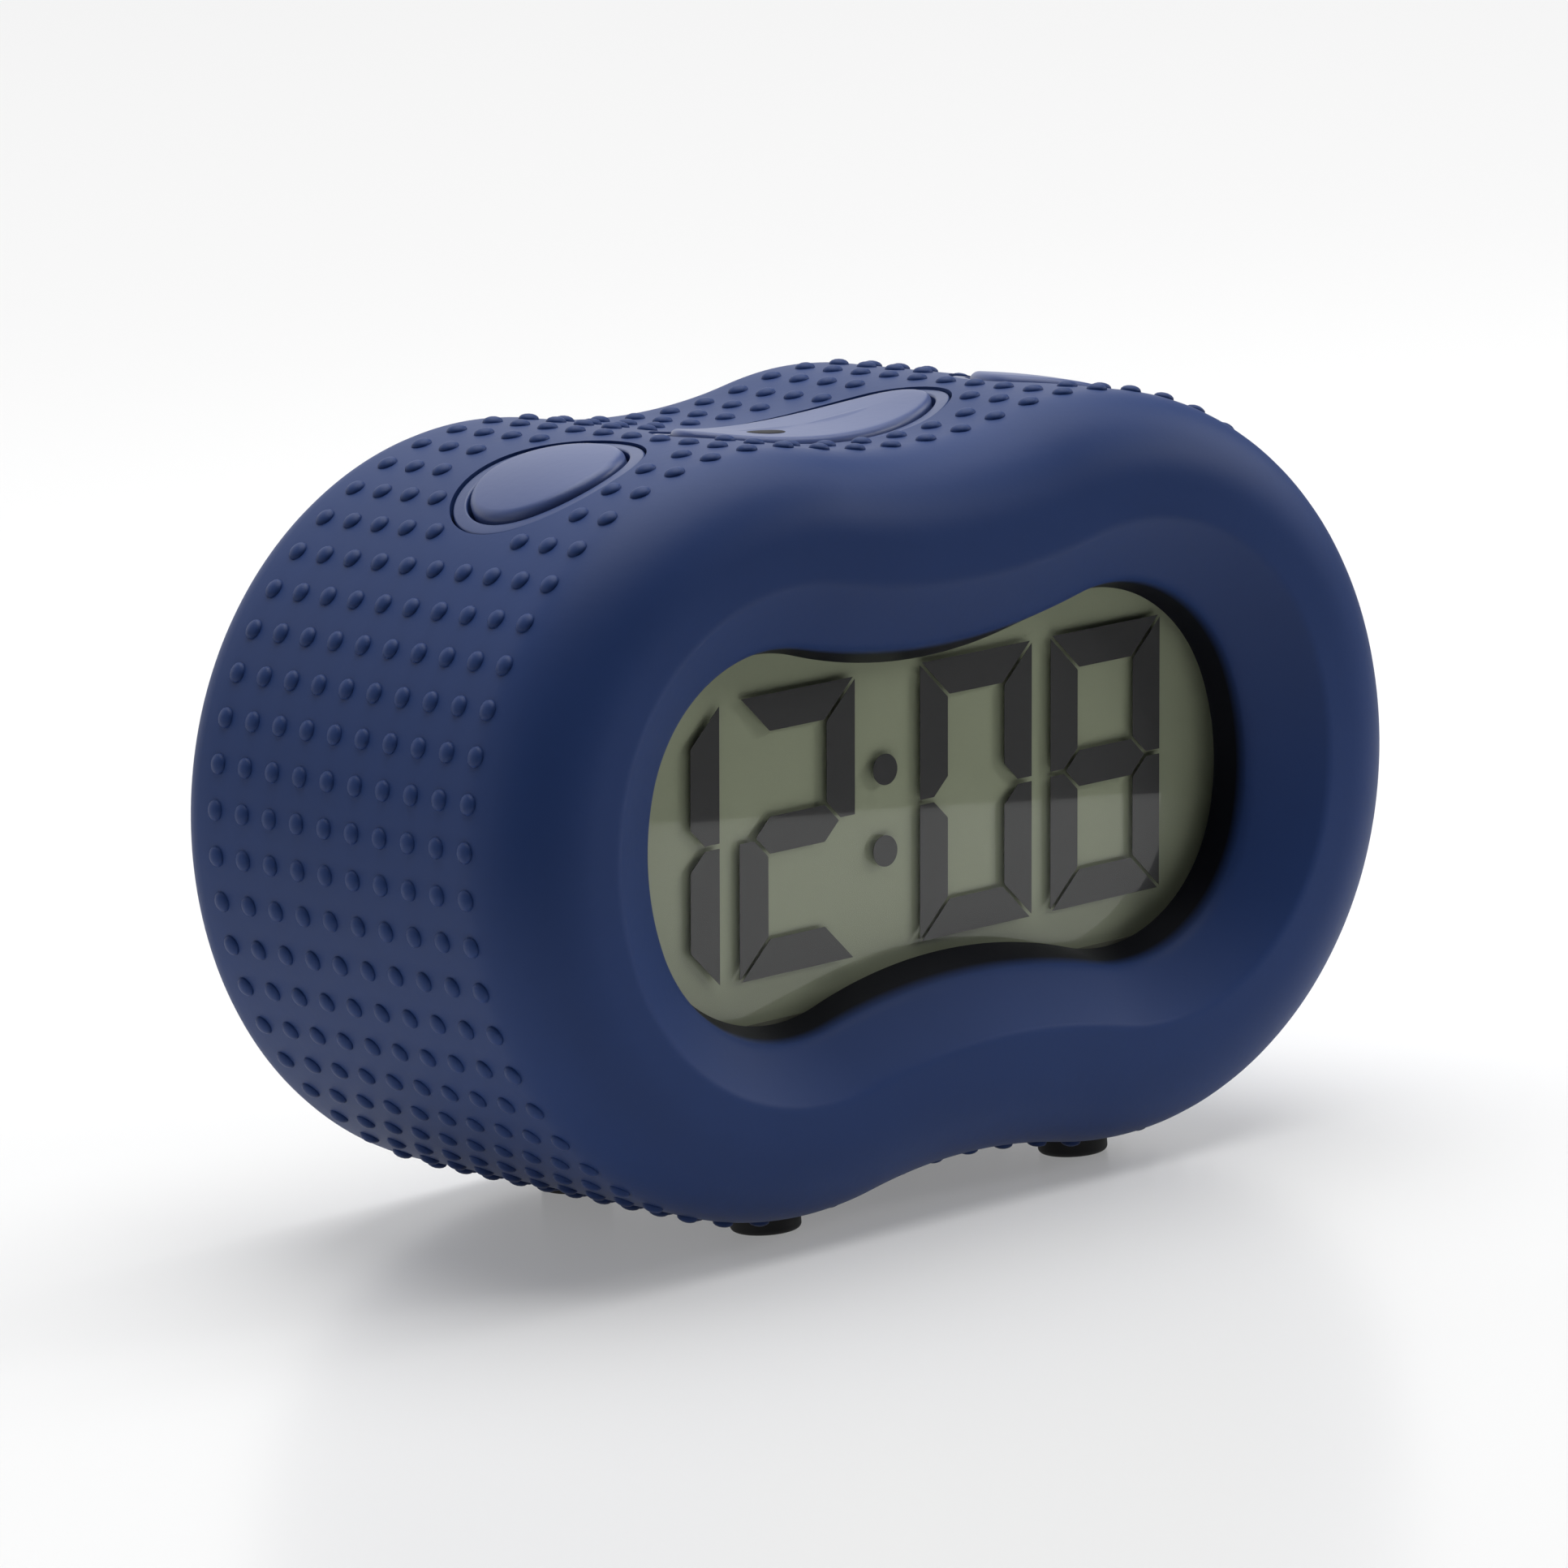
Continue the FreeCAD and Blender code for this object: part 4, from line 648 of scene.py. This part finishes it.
# %% Each finish
SOFT = {"Specular_IOR_Level": 0.18}
SATIN = {"Specular_IOR_Level": 0.35}
GLASSY = {"Specular_IOR_Level": 0.1, "Coat_Weight": 0.8, "Coat_Roughness": 0.02}
paint = {
    "sleeve_rubber": grained("sleeve_rubber", srgb(40, 62, 112), 0.5, **SOFT),
    "collar_plastic": grained("collar_plastic", srgb(50, 70, 120), 0.34, **SATIN),
    "key_plastic": grained("key_plastic", srgb(70, 86, 134), 0.36, **SATIN),
    "case_plastic": grained("case_plastic", srgb(12, 14, 22), 0.5),
    "cover_plastic": grained("cover_plastic", srgb(28, 34, 58), 0.5, scale=500.0),
    "rear_key_plastic": grained("rear_key_plastic", srgb(52, 62, 98), 0.4),
    "clear_window": clear("clear_window", 0.005, 0.02),
    "display_glass": clear("display_glass", 0.004, 0.08),
    "display_ink": grained("display_ink", srgb(72, 72, 72), 0.7, depth=0.0, vary=0.02, **GLASSY),
    "display_seal": grained("display_seal", srgb(110, 112, 96), 0.6),
    "reflector": grained("reflector", srgb(166, 173, 146), 0.7, depth=0.0, vary=0.02, **GLASSY),
    "black_plastic": grained("black_plastic", srgb(16, 16, 17), 0.5),
    "strip_rubber": grained("strip_rubber", srgb(60, 60, 62), 0.6),
    "board_green": grained("board_green", srgb(24, 84, 48), 0.35, scale=300.0),
    "bright_steel": grained("bright_steel", srgb(210, 210, 212), 0.25, Metallic=1.0),
    "screw_steel": grained("screw_steel", srgb(188, 188, 192), 0.35, Metallic=1.0),
    "dark_window": grained("dark_window", srgb(12, 14, 24), 0.6, depth=0.0, **SOFT),
    "battery_label": grained("battery_label", srgb(96, 100, 104), 0.3),
    "foot_rubber": grained("foot_rubber", srgb(15, 15, 16), 0.6),
}
for part in frame["record"]["subparts"]:
    mesh = nodes[part["node"]].data
    mesh.materials.clear()
    mesh.materials.append(paint[part["material_slot"]])
print("finishes:", len(paint))

# %% [markdown]
# ## Rim of the window
#
# The wall between the sleeve's lip and the window lies deep in shade, and that shade is painted:
# the sleeve's own colour turns near black there, with its depth behind the lip. It could be a
# ring of its own, but it would need a thin gap to the sleeve. An oval round the window keeps the
# painted shade off the outside.

# %% Painted shade on the rim
# Painted shade: the near-black colour and the depths of the deep wall round the window.
RIM_SHADE_COLOUR = srgb(6, 8, 18)
RIM_SHADE_STARTS = (0.3, 1.5)
RIM_SHADE_REACH = (48.0, 28.0)


def paint_rim_shade(material):
    """Paint shade on the wall between the sleeve's lip and the window, near black, by its place in
    the mesh.
    """
    tree = material.node_tree
    shader = tree.nodes["Principled BSDF"]
    tone = shader.inputs["Base Color"].links[0].from_socket
    place = add(tree, "TexCoord")
    parts = add(tree, "SeparateXYZ")
    deep = add(tree, "MapRange", {"From Min": (LIP_FACE + RIM_SHADE_STARTS[0]) * MM,
                                  "From Max": (LIP_FACE + RIM_SHADE_STARTS[1]) * MM})
    centred = add(tree, "VectorMath", {1: (0.0, 0.0, MIDDLE_HEIGHT * MM)}, operation="SUBTRACT")
    across, upward = (1 / (reach * MM) for reach in RIM_SHADE_REACH)
    squashed = add(tree, "VectorMath", {1: (across, 0.0, upward)}, operation="MULTIPLY")
    reach = add(tree, "VectorMath", operation="LENGTH")
    inside = add(tree, "Math", {1: 1.0}, operation="LESS_THAN")
    share = add(tree, "Math", operation="MULTIPLY")
    blend = add(tree, "Mix", {"B": RIM_SHADE_COLOUR}, data_type="RGBA")
    link = tree.links.new
    link(place.outputs["Object"], parts.inputs[0])
    link(parts.outputs["Y"], deep.inputs["Value"])
    link(place.outputs["Object"], centred.inputs[0])
    link(centred.outputs[0], squashed.inputs[0])
    link(squashed.outputs[0], reach.inputs[0])
    link(reach.outputs["Value"], inside.inputs[0])
    link(deep.outputs["Result"], share.inputs[0])
    link(inside.outputs[0], share.inputs[1])
    link(share.outputs[0], blend.inputs["Factor"])
    link(tone, blend.inputs["A"])
    link(blend.outputs["Result"], shader.inputs["Base Color"])


# The sleeve's colour gets painted shade on the deep wall round the window.
paint_rim_shade(paint["sleeve_rubber"])
print(f"rim turns black {RIM_SHADE_STARTS[0]} to {RIM_SHADE_STARTS[1]} mm behind the lip")

# %% Finishes on the new pieces
finishes = [(sleeve, "sleeve_rubber"), (sensor, "dark_window"), (figures, "display_ink")]
finishes += [(glass, "display_glass") for glass in glasses]
finishes += [(collar, "collar_plastic") for collar in collars.values()]
finishes += [(cap, "key_plastic") for cap in keys.values()]
for item, slot in finishes:
    item.data.materials.clear()
    item.data.materials.append(paint[slot])
print("new pieces dressed:", len(finishes))

# %% [markdown]
# ## Bumps
#
# The sleeve is moulded with rows of small grip bumps. The rows run across the body and the
# columns round it, at even steps along the outline, with the middle of the top between two rows.
# An Array modifier would space them by a fixed step and cut off at the seam, so their places are
# worked out first. A bump is left out where it would touch a key's hole or a foot.

# %% Places of the bumps
BUMP_ROWS = 70
BUMP_COLUMNS = 10
FIRST_COLUMN = 20.6
COLUMN_STEP = 4.37
BUMP_RADIUS = 1.05
BUMP_RISE = 0.55
BUMP_MARGIN = 0.35
TOP_PULL = 0.01
LOOK_AHEAD = 0.5
FOOT_CLEARANCE = 2


def even_steps(form, count):
    """Points and outward directions at even steps round an outline, from the top centre."""
    whole = ring(form, 0.0)[:, [0, 2]]
    start = int(np.argmin(np.abs(whole[:, 0]) - whole[:, 1] * TOP_PULL))
    whole = np.roll(whole, -start, axis=0)
    closed = np.concatenate([whole, whole[:1]])
    lengths = np.concatenate([[0], np.cumsum(np.linalg.norm(np.diff(closed, axis=0), axis=1))])
    marks = (np.arange(count) + 0.5) * lengths[-1] / count
    points = np.stack([np.interp(marks, lengths, closed[:, axis]) for axis in (0, 1)], 1)
    ahead = np.stack([np.interp((marks + LOOK_AHEAD) % lengths[-1], lengths, closed[:, axis])
                      for axis in (0, 1)], 1)
    along = ahead - points
    outward = np.stack([along[:, 1], -along[:, 0]], 1)
    outward /= np.linalg.norm(outward, axis=1)[:, None]
    middle = np.array([0, MIDDLE_HEIGHT])
    flip = np.sign(((points - middle) * outward).sum(1))
    return points, outward * flip[:, None], lengths[-1]


def in_key_hole(point):
    """True where a bump would touch the hole round a key."""
    for side in SIDES.values():
        local = key_frame(side).inverted() @ Vector(point)
        half_across, half_back = key_half_sizes(side)
        margin = HOLE_GROW + BUMP_RADIUS + BUMP_MARGIN
        share = (local.x / (half_across + margin)) ** 2 + (local.y / (half_back + margin)) ** 2
        if local.z > 0 and share < 1:
            return True
    return False


def near_foot(point):
    """True where a bump would touch a foot."""
    for node in FOOT_NAMES:
        low, high = (np.array(corner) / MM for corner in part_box(node))
        middle = (low + high) / 2
        reach = (high[0] - low[0]) / 2 + BUMP_RADIUS + BUMP_MARGIN
        away = math.hypot(point[0] - middle[0], point[1] - middle[1])
        if point[2] < high[2] + FOOT_CLEARANCE and away < reach:
            return True
    return False


places, outwards, girth = even_steps(BODY, BUMP_ROWS)
seeds = []
directions = []
for (across, height), (lean_x, lean_z) in zip(places, outwards):
    for column in range(BUMP_COLUMNS):
        point = (across, FIRST_COLUMN - COLUMN_STEP * column, height)
        if not (in_key_hole(point) or near_foot(point)):
            seeds.append(point)
            directions.append((lean_x, 0.0, lean_z))
seed_mesh = bpy.data.meshes.new("bump_seeds")
seed_mesh.from_pydata([tuple(part * MM for part in point) for point in seeds], [], [])
outward = seed_mesh.attributes.new("outward", "FLOAT_VECTOR", "POINT")
outward.data.foreach_set("vector", [part for direction in directions for part in direction])
bumps = bpy.data.objects.new("bumps", seed_mesh)
bpy.context.scene.collection.objects.link(bumps)
print(f"bumps: {len(seeds)}, rows {girth / BUMP_ROWS:.2f} mm apart")

# %% [markdown]
# ## One dome on each point
#
# A small tree of geometry nodes puts a dome on each point and turns it outward. Its size and
# its finish are inputs of the tree, so a change of size needs no new mesh code. The result is
# realized and made a plain mesh, because a model that leaves Blender loses its instances.

# %% Bump nodes
DOME_SEGMENTS = 14
DOME_RINGS = 8


def bump_nodes():
    """Domes on points, each turned to face outward, as one realized mesh."""
    group = bpy.data.node_groups.new("bump_rows", "GeometryNodeTree")
    face = group.interface
    face.new_socket("Geometry", in_out="INPUT", socket_type="NodeSocketGeometry")
    for label in ("Radius", "Rise"):
        face.new_socket(label, in_out="INPUT", socket_type="NodeSocketFloat")
    face.new_socket("Finish", in_out="INPUT", socket_type="NodeSocketMaterial")
    face.new_socket("Geometry", in_out="OUTPUT", socket_type="NodeSocketGeometry")
    new = group.nodes.new
    link = group.links.new
    given = new("NodeGroupInput")
    result = new("NodeGroupOutput")
    dome = new("GeometryNodeMeshUVSphere")
    dome.inputs["Segments"].default_value = DOME_SEGMENTS
    dome.inputs["Rings"].default_value = DOME_RINGS
    dome.inputs["Radius"].default_value = 1.0
    size = new("ShaderNodeCombineXYZ")
    shape = new("GeometryNodeTransform")
    smooth = new("GeometryNodeSetShadeSmooth")
    facing = new("GeometryNodeInputNamedAttribute")
    facing.data_type = "FLOAT_VECTOR"
    facing.inputs["Name"].default_value = "outward"
    turn = new("FunctionNodeAlignRotationToVector")
    turn.axis = "Z"
    instances = new("GeometryNodeInstanceOnPoints")
    real = new("GeometryNodeRealizeInstances")
    finish = new("GeometryNodeSetMaterial")
    for axis, label in (("X", "Radius"), ("Y", "Radius"), ("Z", "Rise")):
        link(given.outputs[label], size.inputs[axis])
    link(dome.outputs["Mesh"], shape.inputs["Geometry"])
    link(size.outputs["Vector"], shape.inputs["Scale"])
    link(shape.outputs["Geometry"], smooth.inputs["Geometry"])
    link(given.outputs["Geometry"], instances.inputs["Points"])
    link(smooth.outputs["Geometry"], instances.inputs["Instance"])
    link(facing.outputs["Attribute"], turn.inputs["Vector"])
    link(turn.outputs["Rotation"], instances.inputs["Rotation"])
    link(instances.outputs["Instances"], real.inputs["Geometry"])
    link(real.outputs["Geometry"], finish.inputs["Geometry"])
    link(given.outputs["Finish"], finish.inputs["Material"])
    link(finish.outputs["Geometry"], result.inputs["Geometry"])
    return group


def set_input(modifier, label, value):
    """Set a modifier's input by the identifier of the socket with that name."""
    for item in modifier.node_group.interface.items_tree:
        if item.in_out == "INPUT" and item.name == label:
            modifier[item.identifier] = value


# %% Bumps as a mesh
rows = bumps.modifiers.new("rows", "NODES")
rows.node_group = bump_nodes()
set_input(rows, "Radius", BUMP_RADIUS * MM)
set_input(rows, "Rise", BUMP_RISE * MM)
set_input(rows, "Finish", paint["sleeve_rubber"])
bpy.context.view_layer.update()
bump_mesh = bpy.data.meshes.new_from_object(
    bumps.evaluated_get(bpy.context.evaluated_depsgraph_get()))
bumps.modifiers.clear()
bumps.data = bump_mesh
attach(bumps, "clock")
print(f"bump mesh: {len(bump_mesh.polygons)} faces")

# %% [markdown]
# ## Floor
#
# The clock stands on a white sweep. Part of the floor's tone is its own colour, which only the
# camera and mirrored rays see, so no lamp is turned up to whiten it. That part is small near the
# clock, where the shadow lies, and large in the distance.
#
# The table ends a little way in front of the clock and the room beyond it is dim. That keeps the
# front face deep blue and draws a faint tone edge across the window. The camera sees the floor
# go on, and only bounced and mirrored rays meet the dim part. Both come from where a point of
# the floor lies and from the kind of ray, so no second sheet is needed.

# %% Floor rays
TABLE_EDGES = (((0.63, -0.777, 0.0), 0.22), ((-0.63, -0.777, 0.0), 0.2))


def highest(tree, outputs):
    """The highest of several outputs that are nought or one."""
    total = outputs[0]
    for other in outputs[1:]:
        join = add(tree, "Math", operation="MAXIMUM")
        tree.links.new(total, join.inputs[0])
        tree.links.new(other, join.inputs[1])
        total = join.outputs[0]
    return total


def seen_rays(tree):
    """One for rays from the camera and for mirrored or refracted ones, else nought."""
    path = add(tree, "LightPath")
    return highest(tree, [path.outputs[f"Is {kind} Ray"]
                          for kind in ("Camera", "Glossy", "Transmission")])


def beyond_table(tree):
    """One past either edge of the table for every ray but the camera's, else nought."""
    place = add(tree, "TexCoord")
    path = add(tree, "LightPath")
    past = []
    for way, reach in TABLE_EDGES:
        along = add(tree, "VectorMath", {1: way}, operation="DOT_PRODUCT")
        step = add(tree, "Math", {1: reach}, operation="GREATER_THAN")
        tree.links.new(place.outputs["Object"], along.inputs[0])
        tree.links.new(along.outputs["Value"], step.inputs[0])
        past.append(step.outputs[0])
    unseen = add(tree, "Math", operation="SUBTRACT", use_clamp=True)
    tree.links.new(highest(tree, past), unseen.inputs[0])
    tree.links.new(path.outputs["Is Camera Ray"], unseen.inputs[1])
    return unseen.outputs[0]


# %% Floor's finish
OWN_SHARES = (0.25, 0.85)
OWN_REACHES = (0.3, 0.9)


def floor_finish():
    """White with its own colour growing with distance, and dim beyond the table."""
    material, shader = principled("floor_white", srgb(242, 242, 242), 0.25,
                                  Specular_IOR_Level=0.2)
    tree = material.node_tree
    own = add(tree, "Emission", {"Color": srgb(248, 248, 248)})
    place = add(tree, "TexCoord")
    away = add(tree, "VectorMath", operation="LENGTH")
    growth = add(tree, "MapRange",
                 {"From Min": OWN_REACHES[0], "From Max": OWN_REACHES[1],
                  "To Min": OWN_SHARES[0], "To Max": OWN_SHARES[1]},
                 interpolation_type="SMOOTHSTEP")
    share = add(tree, "Math", operation="MULTIPLY")
    blend = add(tree, "MixShader")
    dim = add(tree, "BsdfDiffuse", {"Color": srgb(40, 40, 42)})
    table_end = add(tree, "MixShader")
    link = tree.links.new
    link(place.outputs["Object"], away.inputs[0])
    link(away.outputs["Value"], growth.inputs["Value"])
    link(growth.outputs["Result"], share.inputs[1])
    link(seen_rays(tree), share.inputs[0])
    link(share.outputs[0], blend.inputs[0])
    link(shader.outputs[0], blend.inputs[1])
    link(own.outputs[0], blend.inputs[2])
    link(beyond_table(tree), table_end.inputs[0])
    link(blend.outputs[0], table_end.inputs[1])
    link(dim.outputs[0], table_end.inputs[2])
    link(table_end.outputs[0], tree.nodes["Material Output"].inputs["Surface"])
    return material


# %% Floor sheet
FLOOR_REACH = 12.0
corners = [(-FLOOR_REACH, -FLOOR_REACH, 0), (FLOOR_REACH, -FLOOR_REACH, 0),
           (FLOOR_REACH, FLOOR_REACH, 0), (-FLOOR_REACH, FLOOR_REACH, 0)]
floor_mesh = bpy.data.meshes.new("floor")
floor_mesh.from_pydata(corners, [], [(0, 1, 2, 3)])
floor = bpy.data.objects.new("floor", floor_mesh)
bpy.context.scene.collection.objects.link(floor)
floor_mesh.materials.append(floor_finish())
print(f"floor: {2 * FLOOR_REACH:.0f} m across")

# %% [markdown]
# ## World and lights
#
# The photograph was lit by broad soft lamps in a white studio. A lit sky image could do that,
# but it would need a file. The camera sees a white world that gives next to no light, and five
# area lights do the work: a broad one overhead, one behind for the back edge, and the rest from
# the sides. The small bright one at the front right lifts the right-hand end of the bezel.

# %% World
LIT_STRENGTH = 0.05
world = bpy.data.worlds.new("studio")
bpy.context.scene.world = world
world.use_nodes = True
tree = world.node_tree
tree.nodes.clear()
output = add(tree, "OutputWorld")
seen = add(tree, "Background", {"Color": srgb(246, 247, 249)})
lit = add(tree, "Background", {"Color": (0.97, 0.98, 1.0, 1.0), "Strength": LIT_STRENGTH})
path = add(tree, "LightPath")
mix = add(tree, "MixShader")
tree.links.new(path.outputs["Is Camera Ray"], mix.inputs[0])
tree.links.new(lit.outputs[0], mix.inputs[1])
tree.links.new(seen.outputs[0], mix.inputs[2])
tree.links.new(mix.outputs[0], output.inputs["Surface"])
print("world:", world.name)


# %% Lights
def area_light(name, place, aim, size, glow):
    """A soft light of a given width and height in metres; glow 1 looks white to the camera."""
    data = bpy.data.lights.new(name, "AREA")
    data.shape = "RECTANGLE"
    data.size, data.size_y = size
    data.energy = glow * math.pi * size[0] * size[1]
    light = bpy.data.objects.new(name, data)
    light.location = place
    light.rotation_euler = (Vector(aim) - Vector(place)).to_track_quat("-Z", "Y").to_euler()
    bpy.context.scene.collection.objects.link(light)
    print(f"{name}: {data.energy:.1f} W")


CLOCK = (0.0, 0.0, MIDDLE_HEIGHT * MM)
area_light("overhead", (0.2, 0.1, 1.1), CLOCK, (1.2, 1.2), 3.3)
area_light("sweep_behind", (0.3, 1.7, 0.8), CLOCK, (3.2, 1.6), 1.0)
area_light("right_side", (1.2, -0.1, 0.6), CLOCK, (0.6, 0.6), 2.5)
area_light("front_right", (1.1, -0.7, 0.5), CLOCK, (0.35, 0.35), 9.0)
area_light("left_side", (-1.6, 0.5, 0.6), CLOCK, (1.2, 1.2), 0.8)

# %% [markdown]
# ## Camera
#
# The camera stands where the photograph was taken from. It was found outside Blender, by fitting
# the outline, the window and the rows of bumps to the picture. Its numbers are angles round the
# clock, a distance in millimetres and a long lens, so the picture hardly converges.

# %% Camera
AZIMUTH = math.radians(-39.369)
ELEVATION = math.radians(10.382)
ROLL = math.radians(-3.580)
DISTANCE = 836.06
LENS = 197.55
SIDEWAYS = 17.47
UPWARD = -2.11
SENSOR_WIDTH = 36.0
AIM_BEHIND_FRONT = 3.5
AIM = Vector((0.0, FRONT + AIM_BEHIND_FRONT, MIDDLE_HEIGHT))


def photo_camera():
    """The camera that took the photograph, found from the outline and the bumps."""
    back = Vector((math.sin(AZIMUTH) * math.cos(ELEVATION),
                   -math.cos(AZIMUTH) * math.cos(ELEVATION), math.sin(ELEVATION)))
    right = Vector((math.cos(AZIMUTH), math.sin(AZIMUTH), 0.0))
    up = back.cross(right)
    right, up = (right * math.cos(ROLL) + up * math.sin(ROLL),
                 up * math.cos(ROLL) - right * math.sin(ROLL))
    place = AIM - right * SIDEWAYS - up * UPWARD + back * DISTANCE
    data = bpy.data.cameras.new("camera")
    data.lens = LENS
    data.sensor_width = SENSOR_WIDTH
    camera = bpy.data.objects.new("camera", data)
    camera.matrix_world = Matrix((
        (right.x, up.x, back.x, place.x * MM),
        (right.y, up.y, back.y, place.y * MM),
        (right.z, up.z, back.z, place.z * MM),
        (0, 0, 0, 1)))
    bpy.context.scene.collection.objects.link(camera)
    bpy.context.scene.camera = camera
    return camera


camera = photo_camera()
bpy.context.scene.view_settings.view_transform = "Standard"
print("camera at", [round(part, 4) for part in camera.matrix_world.translation])
